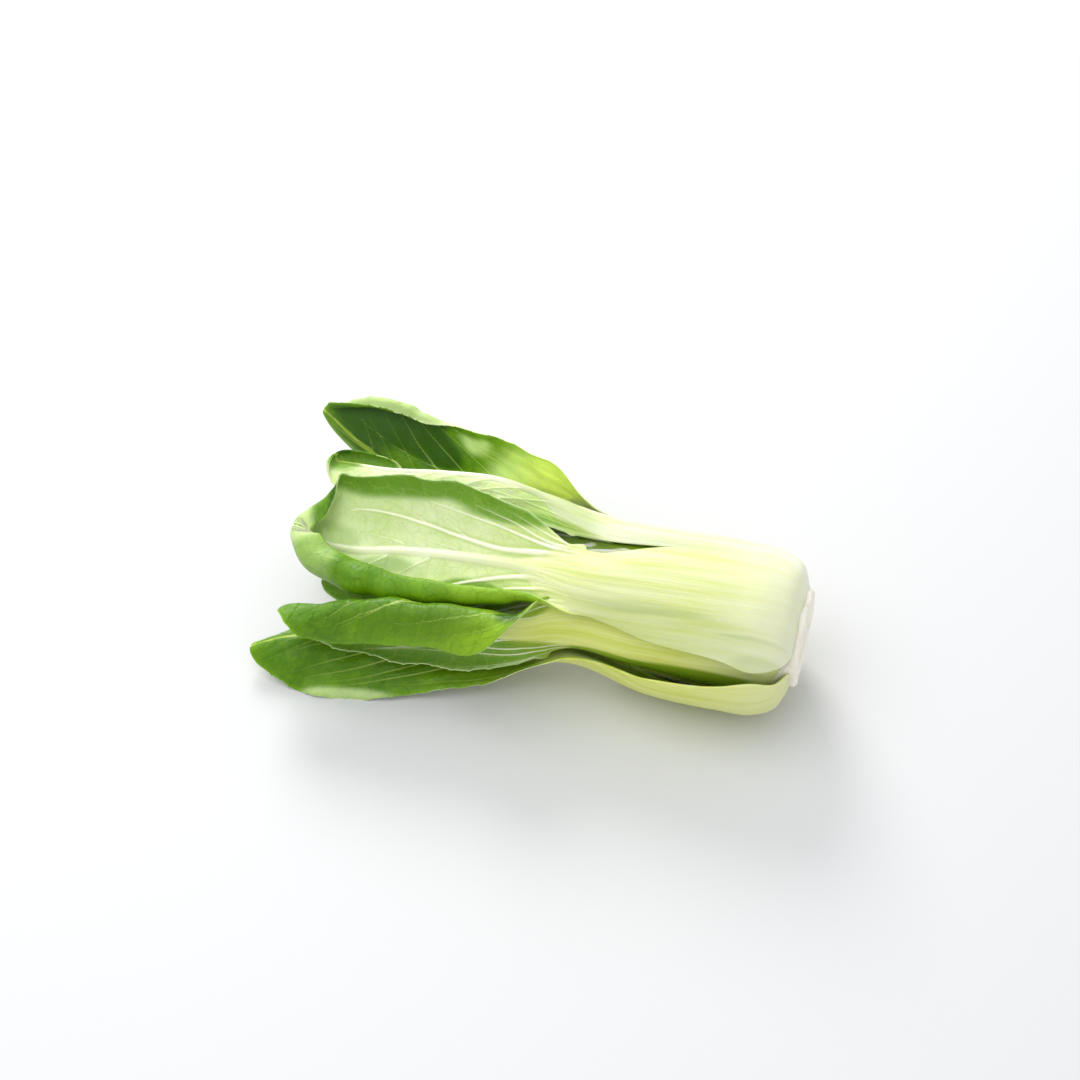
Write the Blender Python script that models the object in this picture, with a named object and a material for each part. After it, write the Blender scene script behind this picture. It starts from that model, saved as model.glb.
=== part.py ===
"""A head of green-stem pak choi, the Shanghai kind, lying on its side.

Each leaf is two solids. The stalk is thick and pale, clasps the head, and runs on as the
midrib. The blade is thin and green, and its two halves stand beside the midrib and join round its
end. The leaves stand in rings round a short butt, which is the stem cut off flat.

While a leaf is shaped, a place is (distance from the cut face towards the tips, y, height over
the head's axis), in millimetres. Angles round the axis start at +Y and pass over the top, +Z.
"""

from collections import namedtuple

import bmesh
import bpy
import numpy as np

MM = 0.001
WELD = 1e-6  # metres

# The head
TABLE_DEPTH = 29.8  # how far the table is below the axis, which presses the lowest leaves flat
BUTT_RADIUS = 17.0
BUTT_RIM = 1.8  # the depth of the disc that the outer stalks end on
BUTT_CHAMFER = 0.8
BUTT_SIDES = 28
CORE = [(13.5, 1.9), (12.3, 8), (8, 13), (3.5, 20), (0, 20)]  # radius, distance from the cut

# The stalks
OUTER_BASE = 17.5  # from the axis to an outer stalk's skin at the butt
INNER_BASE_SHARE = 0.8  # the same for an inner stalk, as a share of its full radius
BASE_THICKNESS = 3.5  # at the butt, from where a stalk thickens by THICKENING for each mm
THICKENING = 0.8
NECK_THINNING = 0.45  # how much thinner a stalk is at the neck, where its blade begins
STALK_EDGE = 1.5
CROWN = 1.5  # the power that a stalk's section bulges by towards its middle

# A stalk's sections before the neck. A row is how far it is past the stalk's start, in millimetres
# and as a share of the stalk's reach, its shares of the base's radius and of the full one, its
# width without the waist and by the waist, and how far it has turned towards the neck's face
STALK_SECTIONS = [
    (0, 0, 1, 0, 0.84, 0, 0),
    (4, 0, 1 / 3, 2 / 3, 0.94, 0, 0),
    (12, 0, 0, 0.98, 1, 0, 0),
    (0, 0.3, 0, 1, 0.45, 0.55, 0.2),
    (0, 0.62, 0, 0.98, 0, 1, 0.6),
]

# The midribs, whose lengths are shares of the blade's
RIB_SHARE = 0.9
RIB_THICKNESS = 2.2
RIB_EDGE = 1.0
RIB_RISE = 1.2  # how far the midrib stands out of the blade's back
RIB_THINNING = 0.75  # how much thinner it would be at the blade's tip
RIB_TAPER = 0.23  # how much narrower it would be there, as a share of the stalk's width
RIB_TIP_WIDTH = 0.07
SHOULDER = 0.22  # where the stalk has narrowed to the midrib
RUN_OUT = 0.3  # where the stalk has thinned to the midrib

# The blades
BLADE_THICKNESS = 0.9
GAP = 0.4  # between a blade and its midrib
LEAST_HALF = 1.0  # a blade's least width beside the stalk
WAVE = 0.8  # how far the margins wave in and out
WAVE_LENGTH = 23.0
WAVE_SHIFT = 2.0  # radians between the waves of the two halves
SWEEP = 0.25  # how far the sections of a blade sweep towards the tip, as a share of their width
SWEEP_START = 25.0  # how far past the neck they sweep in full
ROUNDING = 3.0  # how far from the midrib a section's turns set in
TANGENT_STEP = 6.0  # the midrib's direction is taken over this distance both ways

# How finely the leaves are faceted, for the outer leaves and for those inside: rows along a blade
# beside its midrib, columns across half of it, columns across a stalk, a stalk's rows as shares of
# the way to the neck, and a blade's rows as shares of the way from the midrib's end to the tip
Detail = namedtuple("Detail", "rows columns across stalk_rows end_rows")
FINE = Detail(13, 8, 7, (0, 0.05, 0.12, 0.23, 0.4, 0.6, 0.8, 1), (0.15, 0.45, 0.7, 0.88))
COARSE = Detail(8, 4, 5, (0, 0.12, 0.23, 0.6, 1), (0.2, 0.7))
OUTER = ("leaf_1", "leaf_2", "leaf_3", "leaf_4", "leaf_5", "leaf_6")
FIRST_ROW = 2.0  # how far past the neck a blade starts
ROW_SPREAD = 1.2  # the power by which its rows stand closer near the neck
SECTION_STEPS = 24

# A half of a section is its width and the direction that the skin takes at the midrib, at one
# and two thirds of the way out, and at the edge: 0 is straight out, and a positive angle turns
# away from the head. The left half is on the side of the growing angle. At is the place of the
# midrib, and face is the angle that it faces.
Section = namedtuple("Section", "at face left right")

# A stalk starts at this distance from the cut and swells to this radius from the axis. Left and
# right are its halves there: the width, and the turns after the midrib's, which is 0. Waist is its
# width at the neck as a share of that, and thickness is its thickness in the middle.
Leaf = namedtuple("Leaf", "start radius face left right waist thickness sections")

LEAVES = {
    # Uppermost, towards the front: a dish whose rim curls up and rolls over at the front
    "leaf_1": Leaf(2.2, 30.5, 113, (24.5, -14, -29, -45), (23.5, -14, -28, -42), 0.78, 6.5, [
        Section((78, -13.5, 23.5), 120, (12.5, 0, -8, -16, -24), (11, 0, -8, -16, -22)),
        Section((88, -11.5, 21.5), 118, (14, 0, -4, 15, 55), (12, 0, -2, -3, -3)),
        Section((99, -9.5, 19.2), 116, (19, 0, 0, 70, 160), (14.5, 2, 12, 20, 25)),
        Section((122, -7.8, 15.2), 113, (28.5, 0, -5, 90, 190), (23.5, 5, 16, 34, 48)),
        Section((146, -7.2, 10.4), 111, (31, 0, -5, 95, 195), (26, 0, 12, 32, 55)),
        Section((166, -8.5, 6.5), 110, (26, 0, 0, 90, 190), (27.5, 0, 8, 25, 60)),
        Section((178, -7, 5.8), 110, (18, 0, 5, 60, 120), (24, 0, 8, 30, 60)),
        Section((187, -4, 6.5), 110, (0, 0, 10, 40, 60), (0, 0, 10, 30, 50)),
    ]),
    # Top, behind leaf 1: a narrow tent with its ridge up
    "leaf_2": Leaf(2.2, 29.4, 58, (9.5, -18, -34, -44), (12, -7, -14, -22), 0.7, 6, [
        Section((80, 10, 28), 70, (9, -5, -12, -22, -30), (10, -5, -10, -20, -28)),
        Section((96, 14, 29.5), 72, (11, -25, -35, -45, -50), (14, -25, -35, -45, -50)),
        Section((116, 18, 29.5), 72, (15, -30, -45, -55, -60), (18, -40, -50, -55, -60)),
        Section((138, 21, 23.5), 72, (17, -30, -45, -55, -60), (18, -45, -60, -70, -70)),
        Section((161, 22, 17.5), 72, (14, -20, -30, -40, -45), (14, -30, -40, -45, -45)),
        Section((174, 23.3, 14.8), 72, (10, -20, -30, -40, -45), (11, -20, -30, -35, -35)),
        Section((181.5, 24.1, 13.2), 72, (0, -20, -30, -40, -45), (0, -20, -30, -35, -35)),
    ]),
    # Back: splayed and cupped, its upper margin curling in near the tip
    "leaf_3": Leaf(2.2, 28.3, 10, (13.5, -14, -30, -54), (21.5, -15, -31, -50), 0.85, 6.5, [
        Section((80, 25, 10), 5, (10, 0, -8, -16, -24), (10, 0, -8, -16, -24)),
        Section((90, 27, 7.5), -10, (18.5, 5, 0, 0, -10), (13, 0, -10, -15, -20)),
        Section((104, 28, 5), -25, (23, 10, 5, 0, -10), (17, 0, -10, -20, -30)),
        Section((130, 30, 2), -40, (26.5, 10, 0, -15, -30), (20, 0, -10, -15, -20)),
        Section((156, 34, 2), -45, (28, 0, -8, -20, -60), (15, 0, 0, 10, 20)),
        Section((173, 40, 5), -45, (28, -5, -10, -30, -130), (9, 20, 40, 60, 80)),
        Section((184, 45, 8.2), -45, (23, -5, -10, -30, -130), (6, 20, 40, 60, 80)),
        Section((193.5, 50, 12), -45, (0, -5, -10, -30, -80), (0, 20, 40, 60, 80)),
    ]),
    # Front, inside leaves 1 and 5: its upper half folded down over its back
    "leaf_4": Leaf(6, 24.5, 165, (14.5, -14, -28, -44), (14, -12, -24, -36), 0.9, 5, [
        Section((86, -22.8, 2.5), 172, (10, 0, -8, -16, -24), (12.5, 0, -6, -6, 0)),
        Section((94, -25.5, 1.5), 172, (12, 0, -4, 0, 15), (16, 6, 6, 40, 90)),
        Section((104, -27.5, 0.5), 172, (14, 0, 0, 20, 60), (28, 10, 18, 130, 165)),
        Section((122, -28, -2), 174, (17, 0, 5, 50, 120), (32, -3, 15, 145, 172)),
        Section((146, -30, -4.5), 176, (15, 0, 5, 50, 130), (34, -3, 15, 145, 172)),
        Section((166, -32.5, -5.5), 178, (10, 0, 10, 50, 120), (25, -3, 20, 125, 155)),
        Section((182.5, -35, -5), 178, (0, 0, 10, 30, 50), (0, 0, 10, 40, 60)),
    ]),
    # Lowest at the front: a tent that shows its inner side
    "leaf_5": Leaf(2.2, 31, 215, (18, -10, -20, -32), (26, -15, -31, -48), 0.8, 6.5, [
        Section((79, -18, -17), 228, (10, 0, -8, -16, -24), (10, 0, -8, -16, -22)),
        Section((104, -20, -19.5), 245, (13, 0, 5, 10, 10), (13, 15, 30, 35, 35)),
        Section((130, -23, -20.5), 250, (14, 5, 5, 0, 0), (19, 25, 40, 45, 40)),
        Section((154, -27, -20), 250, (14, 5, 5, 0, 0), (23, 33, 50, 56, 52)),
        Section((174, -32.5, -17.5), 250, (10, 10, 15, 10, 10), (20, 40, 60, 65, 50)),
        Section((185, -36.5, -19), 250, (5, 10, 15, 20, 20), (13, 40, 60, 65, 50)),
        Section((193.5, -40, -22), 250, (0, 10, 20, 30, 30), (0, 40, 60, 65, 50)),
    ]),
    # Underneath, towards the back: flat on the table
    "leaf_6": Leaf(2.2, 30.6, 287, (22, -13, -26, -40), (19.5, -15, -32, -50), 0.85, 6.5, [
        Section((80, 9, -26), 280, (10, 0, -8, -16, -24), (10, 0, -8, -16, -22)),
        Section((104, 12, -27), 276, (20, 0, -5, -10, -15), (16, 0, -5, -10, -15)),
        Section((130, 15, -28.8), 274, (28, 0, -5, -15, -30), (20, 0, -5, -15, -25)),
        Section((152, 17, -29.8), 274, (27, 0, -8, -20, -40), (21, 0, -8, -20, -30)),
        Section((172, 19, -28), 274, (18, 0, -10, -25, -40), (16, 0, -10, -25, -40)),
        Section((188, 21, -23), 274, (0, 0, -10, -25, -40), (0, 0, -10, -25, -40)),
    ]),
    # Inside, under leaves 1 and 2, with a short stalk
    "leaf_7": Leaf(8, 22, 88, (12.5, -11, -22, -34), (12.5, -11, -22, -34), 0.7, 4.5, [
        Section((50, 3, 21.5), 86, (8.5, 0, -8, -16, -24), (8.5, 0, -8, -16, -22)),
        Section((68, 3, 21.5), 86, (12, 0, -8, -16, -24), (12, 0, -8, -16, -24)),
        Section((92, 4, 19.5), 84, (13, 0, -15, -25, -35), (12, 0, -15, -25, -35)),
        Section((115, 5, 14), 84, (12, 0, -20, -40, -60), (10, 0, -20, -40, -60)),
        Section((137, 6, 8), 84, (10, 0, -20, -40, -60), (8, 0, -20, -40, -60)),
        Section((154, 7, 3), 84, (0, 0, -10, -20, -30), (0, 0, -10, -20, -30)),
    ]),
    # Inside, behind leaf 4
    "leaf_8": Leaf(13, 15, 138, (10, -13, -26, -40), (10, -13, -26, -40), 0.7, 4, [
        Section((70, -10, 9), 140, (7, 0, -8, -16, -24), (7, 0, -8, -16, -24)),
        Section((95, -13, 5), 155, (10, 0, -5, -10, -15), (8, 0, -5, -10, -15)),
        Section((120, -15, 0.5), 160, (11, 0, -5, -10, -15), (7, 0, -5, -10, -15)),
        Section((145, -16, -2.5), 160, (12, 0, -5, -10, -15), (7, 0, -5, -10, -15)),
        Section((162, -17, -4), 160, (10, 0, -5, -10, -15), (8, 0, -5, -10, -15)),
        Section((173, -17, -6), 160, (0, 0, -5, -10, -15), (0, 0, -5, -10, -15)),
    ]),
    # Inside, at the back
    "leaf_9": Leaf(8, 20.5, 12, (12, -12, -24, -36), (12, -12, -24, -36), 0.62, 4.5, [
        Section((70, 16, 2), 8, (7.5, 0, -8, -16, -24), (7.5, 0, -8, -16, -24)),
        Section((90, 15, 0), 5, (9, 0, -8, -16, -24), (10, 0, -8, -16, -24)),
        Section((112, 13, -3), 0, (7, 0, -8, -16, -24), (9, 0, -8, -16, -24)),
        Section((132, 12, -5), -5, (6, 0, -8, -16, -24), (8, 0, -8, -16, -24)),
        Section((146, 12, -6), -5, (5, 0, -8, -16, -24), (6, 0, -8, -16, -24)),
        Section((156, 12, -7), -5, (0, 0, -8, -16, -24), (0, 0, -8, -16, -24)),
    ]),
    # Inside, below
    "leaf_10": Leaf(8, 21.5, 248, (12, -12, -24, -36), (12, -12, -24, -36), 0.62, 4.5, [
        Section((72, -7, -17), 252, (8, 0, -8, -16, -24), (8, 0, -8, -16, -24)),
        Section((95, -5, -17), 262, (12, 0, -8, -16, -24), (10, 0, -8, -16, -24)),
        Section((120, -3, -17), 268, (14, 0, -8, -16, -24), (11, 0, -8, -16, -24)),
        Section((145, -2, -16), 270, (13, 0, -8, -16, -24), (11, 0, -8, -16, -24)),
        Section((162, -2, -15), 270, (9, 0, -8, -16, -24), (8, 0, -8, -16, -24)),
        Section((174, -2, -13), 270, (0, 0, -8, -16, -24), (0, 0, -8, -16, -24)),
    ]),
    # The heart
    "leaf_11": Leaf(21.5, 9.5, 50, (8, -20, -40, -60), (8, -20, -40, -60), 0.7, 3, [
        Section((60, 5, 6), 50, (5, 0, -12, -24, -36), (5, 0, -12, -24, -36)),
        Section((80, 5, 6), 50, (8, 0, -12, -24, -36), (8, 0, -12, -24, -36)),
        Section((100, 5, 4), 50, (8, 0, -12, -24, -36), (8, 0, -12, -24, -36)),
        Section((114, 5, 2), 50, (6, 0, -12, -24, -36), (6, 0, -12, -24, -36)),
        Section((123, 4, 1), 50, (0, 0, -12, -24, -36), (0, 0, -12, -24, -36)),
    ]),
    "leaf_12": Leaf(21.5, 9, 235, (8, -20, -40, -60), (8, -20, -40, -60), 0.7, 3, [
        Section((56, -4, -6), 235, (5, 0, -12, -24, -36), (5, 0, -12, -24, -36)),
        Section((74, -4, -6), 235, (7, 0, -12, -24, -36), (7, 0, -12, -24, -36)),
        Section((92, -4, -6), 235, (7, 0, -12, -24, -36), (7, 0, -12, -24, -36)),
        Section((104, -4, -6), 235, (5, 0, -12, -24, -36), (5, 0, -12, -24, -36)),
        Section((112, -4, -6), 235, (0, 0, -12, -24, -36), (0, 0, -12, -24, -36)),
    ]),
}


def smooth(knots, values, at):
    """A smooth curve through the values at the knots, read at one place."""
    slopes = np.gradient(values, knots, axis=0)
    k = int(np.clip(np.searchsorted(knots, at) - 1, 0, len(knots) - 2))
    span = knots[k + 1] - knots[k]
    t = (at - knots[k]) / span
    return (
        (2 * t**3 - 3 * t**2 + 1) * values[k]
        + (t**3 - 2 * t**2 + t) * span * slopes[k]
        + (3 * t**2 - 2 * t**3) * values[k + 1]
        + (t**3 - t**2) * span * slopes[k + 1]
    )


def unit(vector):
    return vector / np.linalg.norm(vector)


def ramp(low, high, value):
    """0 below low, 1 above high, and smooth between."""
    t = np.clip((value - low) / (high - low), 0, 1)
    return t * t * (3 - 2 * t)


def clasp(leaf, distance, share, narrowing, turning):
    """The section of a stalk where it clasps the head, at this share of its full radius."""
    face = leaf.face + turning * (leaf.sections[0].face - leaf.face)
    radius = leaf.radius * share
    at = (distance, radius * np.cos(np.radians(face)), radius * np.sin(np.radians(face)))
    halves = []
    for width, *turns in (leaf.left, leaf.right):
        halves.append((width * share * narrowing, 0, *(turn * narrowing for turn in turns)))
    return Section(at, face, *halves)


class Form:
    """A leaf's outer skin, as a section at any distance along its midrib."""

    def __init__(self, leaf):
        reach = leaf.sections[0].at[0] - leaf.start
        on_disc = leaf.start < CORE[1][1] / 2
        base = OUTER_BASE / leaf.radius if on_disc else INNER_BASE_SHARE
        stalk = []
        for past, part, of_base, of_full, width, by_waist, turning in STALK_SECTIONS:
            distance = leaf.start + past + part * reach
            narrowing = width + by_waist * leaf.waist
            stalk.append(clasp(leaf, distance, of_base * base + of_full, narrowing, turning))
        sections = stalk + leaf.sections
        self.line = np.array([[-s.at[0], s.at[1], s.at[2]] for s in sections], float)
        spans = np.linalg.norm(np.diff(self.line, axis=0), axis=1)
        self.knots = np.concatenate([[0], np.cumsum(spans)])
        self.faces = np.array([s.face for s in sections], float)
        # Widths are eased as squares, which rounds the tip
        self.squares = np.array([[s.left[0] ** 2, s.right[0] ** 2] for s in sections], float)
        self.turns = np.array([[s.left[1:], s.right[1:]] for s in sections], float)
        self.length = self.knots[-1]
        self.belly = self.knots[2]
        self.neck = self.knots[len(stalk)]
        self.rib_end = self.neck + RIB_SHARE * (self.length - self.neck)

    def half_widths(self, along):
        """The widths of the left and right halves."""
        widths = np.sqrt(np.maximum(smooth(self.knots, self.squares, along), 0))
        if self.neck < along < self.neck + RUN_OUT * (self.length - self.neck):
            widths = np.maximum(widths, self.rib_half_width(along) + GAP + LEAST_HALF)
        return widths

    def frame(self, along):
        """The midrib's place, the way out of the head, and the way to the left."""
        place = smooth(self.knots, self.line, along)
        ahead = smooth(self.knots, self.line, min(along + TANGENT_STEP, self.length))
        behind = smooth(self.knots, self.line, max(along - TANGENT_STEP, 0))
        way = ramp(self.belly, self.neck, along)
        tangent = unit((1 - way) * np.array([-1.0, 0, 0]) + way * unit(ahead - behind))
        angle = np.radians(smooth(self.knots, self.faces, along))
        outward = np.array([0, np.cos(angle), np.sin(angle)])
        outward = unit(outward - (outward @ tangent) * tangent)
        return place, outward, np.cross(outward, tangent)

    def skin(self, along, side, distances, wave=0):
        """The skin's points and normals at distances from the midrib, on side 0, left, or 1."""
        place, outward, left = self.frame(along)
        out = left if side == 0 else -left
        width = max(self.half_widths(along)[side], np.max(distances), 1e-3)
        turns = np.radians(smooth(self.knots, self.turns, along)[side])
        shares = np.linspace(0, 1, SECTION_STEPS + 1)
        thirds = np.linspace(0, 1, len(turns))
        angles = np.array([smooth(thirds, turns, share) for share in shares])
        angles *= ramp(0, ROUNDING, shares * width)  # the midrib is rounded, not creased
        middles = (angles[1:] + angles[:-1]) / 2
        step = width / SECTION_STEPS
        steps = step * (np.outer(np.cos(middles), out) + np.outer(np.sin(middles), outward))
        points = place + np.concatenate([[np.zeros(3)], np.cumsum(steps, axis=0)])
        normals = np.outer(np.cos(angles), outward) - np.outer(np.sin(angles), out)
        lift = wave * shares**3 * np.sin(2 * np.pi * along / WAVE_LENGTH + WAVE_SHIFT * side)
        points += normals * lift[:, None]
        sweep = SWEEP * ramp(self.neck, self.neck + SWEEP_START, along) * width * shares**2
        points += sweep[:, None] * np.cross(left, outward)
        spread = shares * width
        found = [np.interp(distances, spread, points[:, axis]) for axis in range(3)]
        facing = [np.interp(distances, spread, normals[:, axis]) for axis in range(3)]
        return np.stack(found, axis=-1), np.stack(facing, axis=-1)

    def rib_half_width(self, along):
        """The stalk's half width, which narrows past the neck into the midrib."""
        at_neck = self.half_widths(self.neck).mean()
        beyond = (along - self.neck) / (self.length - self.neck)
        rib = RIB_TIP_WIDTH + RIB_TAPER * (1 - beyond)
        stalk = (1 - RIB_TIP_WIDTH - RIB_TAPER) * (1 - ramp(0, SHOULDER, beyond))
        return at_neck * (rib + stalk)

    def blade_rows(self, rows):
        """Where a blade has its rows beside the midrib, which has rows there too."""
        first = self.neck + FIRST_ROW
        return first + (self.rib_end - first) * np.linspace(0, 1, rows) ** ROW_SPREAD


def mesh_object(name, points, faces, material, head):
    """Adds an object of these points, in millimetres, and faces, with the head as its parent."""
    mesh = bpy.data.meshes.new(name)
    mesh.from_pydata([tuple(p * MM) for p in points], [], faces)
    shape = bmesh.new()
    shape.from_mesh(mesh)
    bmesh.ops.triangulate(shape, faces=shape.faces, quad_method="FIXED")
    shape.to_mesh(mesh)
    shape.free()
    mesh.shade_smooth()
    mesh.materials.append(material)
    piece = bpy.data.objects.new(name, mesh)
    piece.parent = head
    bpy.context.scene.collection.objects.link(piece)


def pressed(points):
    """Points with none below the table."""
    points[:, 2] = np.maximum(points[:, 2], -TABLE_DEPTH)
    return points


def depths(leaf, form, along):
    """How thick a stalk is in the middle and at its edges, and how far it stands out."""
    beyond = max(0, (along - form.neck) / (form.length - form.neck))
    slim = ramp(0, RUN_OUT, beyond)
    rising = ramp(form.belly, form.neck, along)
    taper = 1 - RIB_THINNING * beyond
    stalk = leaf.thickness * (1 - NECK_THINNING * rising)
    middle = stalk * (1 - slim) + RIB_THICKNESS * taper * slim
    middle = min(middle, BASE_THICKNESS + THICKENING * along)
    edge = STALK_EDGE * (1 - slim) + RIB_EDGE * slim
    return middle, edge, RIB_RISE * rising * taper


def add_stalk(name, leaf, form, detail, material, head):
    """A thick stalk, a crescent in section, that tapers into the midrib."""
    early = form.neck * np.array(detail.stalk_rows)
    shares = np.linspace(-1, 1, detail.across)
    points = []
    for along in np.concatenate([early, form.blade_rows(detail.rows)]):
        middle, edge, rise = depths(leaf, form, along)
        if along > form.neck:
            widths = np.full(2, form.rib_half_width(along))
        else:
            widths = form.half_widths(along)
        outer, inner = [], []
        for share in shares:
            side = 0 if share < 0 else 1
            skin, normal = form.skin(along, side, [abs(share) * widths[side]])
            bulge = (1 - share**2) ** CROWN
            outer.append(skin[0] + normal[0] * rise * bulge)
            inner.append(skin[0] - normal[0] * (edge + (middle - edge) * bulge))
        points += outer + inner[::-1]
    ring = 2 * detail.across
    rings = len(points) // ring
    faces = [tuple(range(ring))[::-1], tuple(range((rings - 1) * ring, rings * ring))]
    for row in range(rings - 1):
        for k in range(ring):
            a, b = row * ring + k, row * ring + (k + 1) % ring
            faces.append((a, b, b + ring, a + ring))
    mesh_object(name, pressed(np.array(points)), faces, material, head)


def add_blade(name, leaf, form, detail, material, head):
    """A thin blade: two halves along the midrib, joined round its end."""
    columns = detail.columns
    beside = form.blade_rows(detail.rows)
    past = form.rib_end + np.array(detail.end_rows) * (form.length - form.rib_end)
    shares = np.linspace(0, 1, columns + 1)
    points, normals, places = [], [], []
    for along in np.concatenate([beside, past]):
        widths = form.half_widths(along)
        inner = form.rib_half_width(along) + GAP if along <= beside[-1] else 0
        row = []
        for side in (0, 1):
            across = inner + shares * (widths[side] - inner)
            skin, facing = form.skin(along, side, across, WAVE)
            shared = [row[0][0]] if inner == 0 and side == 1 else []
            fresh = slice(len(shared), None)
            row.append(shared + list(range(len(points), len(points) + len(skin[fresh]))))
            points += list(skin[fresh])
            normals += list(facing[fresh])
        places.append(row)
    skin, facing = form.skin(form.length, 0, [0])
    points.append(skin[0])
    normals.append(facing[0])
    places.append([[len(points) - 1] * (columns + 1)] * 2)
    faces = []
    for near, far in zip(places, places[1:]):
        for side in (0, 1):
            for k in range(columns):
                corners = [near[side][k], near[side][k + 1], far[side][k + 1], far[side][k]]
                corners = corners if side == 1 else corners[::-1]
                faces += [corners[:3], [corners[0], *corners[2:]]]
    faces = [face for face in faces if len(set(face)) == 3]
    outer = pressed(np.array(points))
    inner = outer - BLADE_THICKNESS * np.array(normals)
    count = len(outer)
    sides = {(a, b) for face in faces for a, b in zip(face, face[1:] + face[:1])}
    rim = [(b, a, a + count, b + count) for a, b in sides if (b, a) not in sides]
    back = [[corner + count for corner in face[::-1]] for face in faces]
    points = pressed(np.concatenate([outer, inner]))
    mesh_object(name, points, faces + back + sorted(rim), material, head)


def add_butt(material, head):
    """The cut stem: a flat face with a rim, and a cone inside that the stalks stand round."""
    edge = BUTT_RADIUS - BUTT_CHAMFER
    rim = [(0, 0), (edge, 0), (BUTT_RADIUS, BUTT_CHAMFER), (BUTT_RADIUS, BUTT_RIM)]
    shape = bmesh.new()
    corners = [shape.verts.new((-along * MM, 0, radius * MM)) for radius, along in rim + CORE]
    edges = [shape.edges.new(pair) for pair in zip(corners, corners[1:])]
    turn = {"cent": (0, 0, 0), "axis": (1, 0, 0), "angle": 2 * np.pi}
    bmesh.ops.spin(shape, geom=corners + edges, steps=BUTT_SIDES, use_merge=True, **turn)
    bmesh.ops.remove_doubles(shape, verts=shape.verts, dist=WELD)
    bmesh.ops.recalc_face_normals(shape, faces=shape.faces)
    mesh = bpy.data.meshes.new("butt")
    shape.to_mesh(mesh)
    shape.free()
    mesh.materials.append(material)
    piece = bpy.data.objects.new("butt", mesh)
    piece.parent = head
    bpy.context.scene.collection.objects.link(piece)


def plant_material(name, colour, roughness):
    """A plain matt or waxy plant surface."""
    material = bpy.data.materials.new(name)
    material.use_nodes = True
    shader = material.node_tree.nodes["Principled BSDF"]
    shader.inputs["Base Color"].default_value = (*colour, 1)
    shader.inputs["Roughness"].default_value = roughness
    return material


def stand_on_origin(head):
    """Moves the head so that its box's bottom centre is the origin."""
    bpy.context.view_layer.update()
    graph = bpy.context.evaluated_depsgraph_get()
    corners = []
    for piece in head.children:
        solid = piece.evaluated_get(graph)
        corners += [solid.matrix_world @ vertex.co for vertex in solid.data.vertices]
    corners = np.array(corners)
    low, high = corners.min(axis=0), corners.max(axis=0)
    head.location = (-(low[0] + high[0]) / 2, -(low[1] + high[1]) / 2, -low[2])


def main():
    for old in list(bpy.data.objects):
        bpy.data.objects.remove(old)
    head = bpy.data.objects.new("head", None)
    bpy.context.scene.collection.objects.link(head)
    stalk_green = plant_material("stalk", (0.72, 0.79, 0.42), 0.4)
    blade_green = plant_material("blade", (0.16, 0.36, 0.05), 0.45)
    cut_white = plant_material("cut_stem", (0.83, 0.78, 0.66), 0.6)
    add_butt(cut_white, head)
    for name, leaf in LEAVES.items():
        form = Form(leaf)
        detail = FINE if name in OUTER else COARSE
        add_stalk(name + "_stalk", leaf, form, detail, stalk_green, head)
        add_blade(name + "_blade", leaf, form, detail, blade_green, head)
    stand_on_origin(head)


main()
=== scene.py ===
"""A head of green-stem pak choi, the Shanghai kind, lying on its side.

The frame holds each leaf as a thick stalk and a thin blade with plain surfaces. Here each leaf is
one piece in much the same form, with its midrib and veins in relief, a puckered blade, a ribbed
stalk and a finely cut margin, which rolls over on leaves 1 to 3. The butt is a rough cut with the
stub of a trimmed leaf.

While a leaf is shaped, a place is (distance from the cut face towards the tips, y, height over
the head's axis), in millimetres. Angles round the axis start at +Y and pass over the top, +Z.
A pair such as VEIN_IN says where a change starts and where it is complete.
"""

from collections import namedtuple

import bpy
import numpy as np
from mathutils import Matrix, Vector


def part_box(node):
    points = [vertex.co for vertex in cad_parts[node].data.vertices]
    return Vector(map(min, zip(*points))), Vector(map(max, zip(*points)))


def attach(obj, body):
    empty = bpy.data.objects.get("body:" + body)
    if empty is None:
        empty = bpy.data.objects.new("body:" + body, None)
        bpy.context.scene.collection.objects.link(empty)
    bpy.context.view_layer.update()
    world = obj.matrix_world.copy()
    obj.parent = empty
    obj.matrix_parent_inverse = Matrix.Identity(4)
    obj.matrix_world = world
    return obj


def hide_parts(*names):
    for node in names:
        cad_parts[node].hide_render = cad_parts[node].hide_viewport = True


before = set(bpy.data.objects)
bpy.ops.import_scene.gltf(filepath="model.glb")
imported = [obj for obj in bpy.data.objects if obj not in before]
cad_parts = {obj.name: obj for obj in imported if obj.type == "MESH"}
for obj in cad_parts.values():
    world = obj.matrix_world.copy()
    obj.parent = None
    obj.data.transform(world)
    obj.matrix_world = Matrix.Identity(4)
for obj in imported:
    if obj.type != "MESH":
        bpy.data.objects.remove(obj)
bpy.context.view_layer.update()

MM = 0.001
FAR = 1e3  # further than anything on a leaf

# The head: its axis leaves the middle of the cut face, towards -X
butt_low, butt_high = (np.array(corner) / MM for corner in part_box("butt"))
HEAD = np.array([butt_high[0], *(butt_low[1:] + butt_high[1:]) / 2])
TABLE_DEPTH = HEAD[2]  # how far the table is below the axis, which presses the lowest leaves flat

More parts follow.
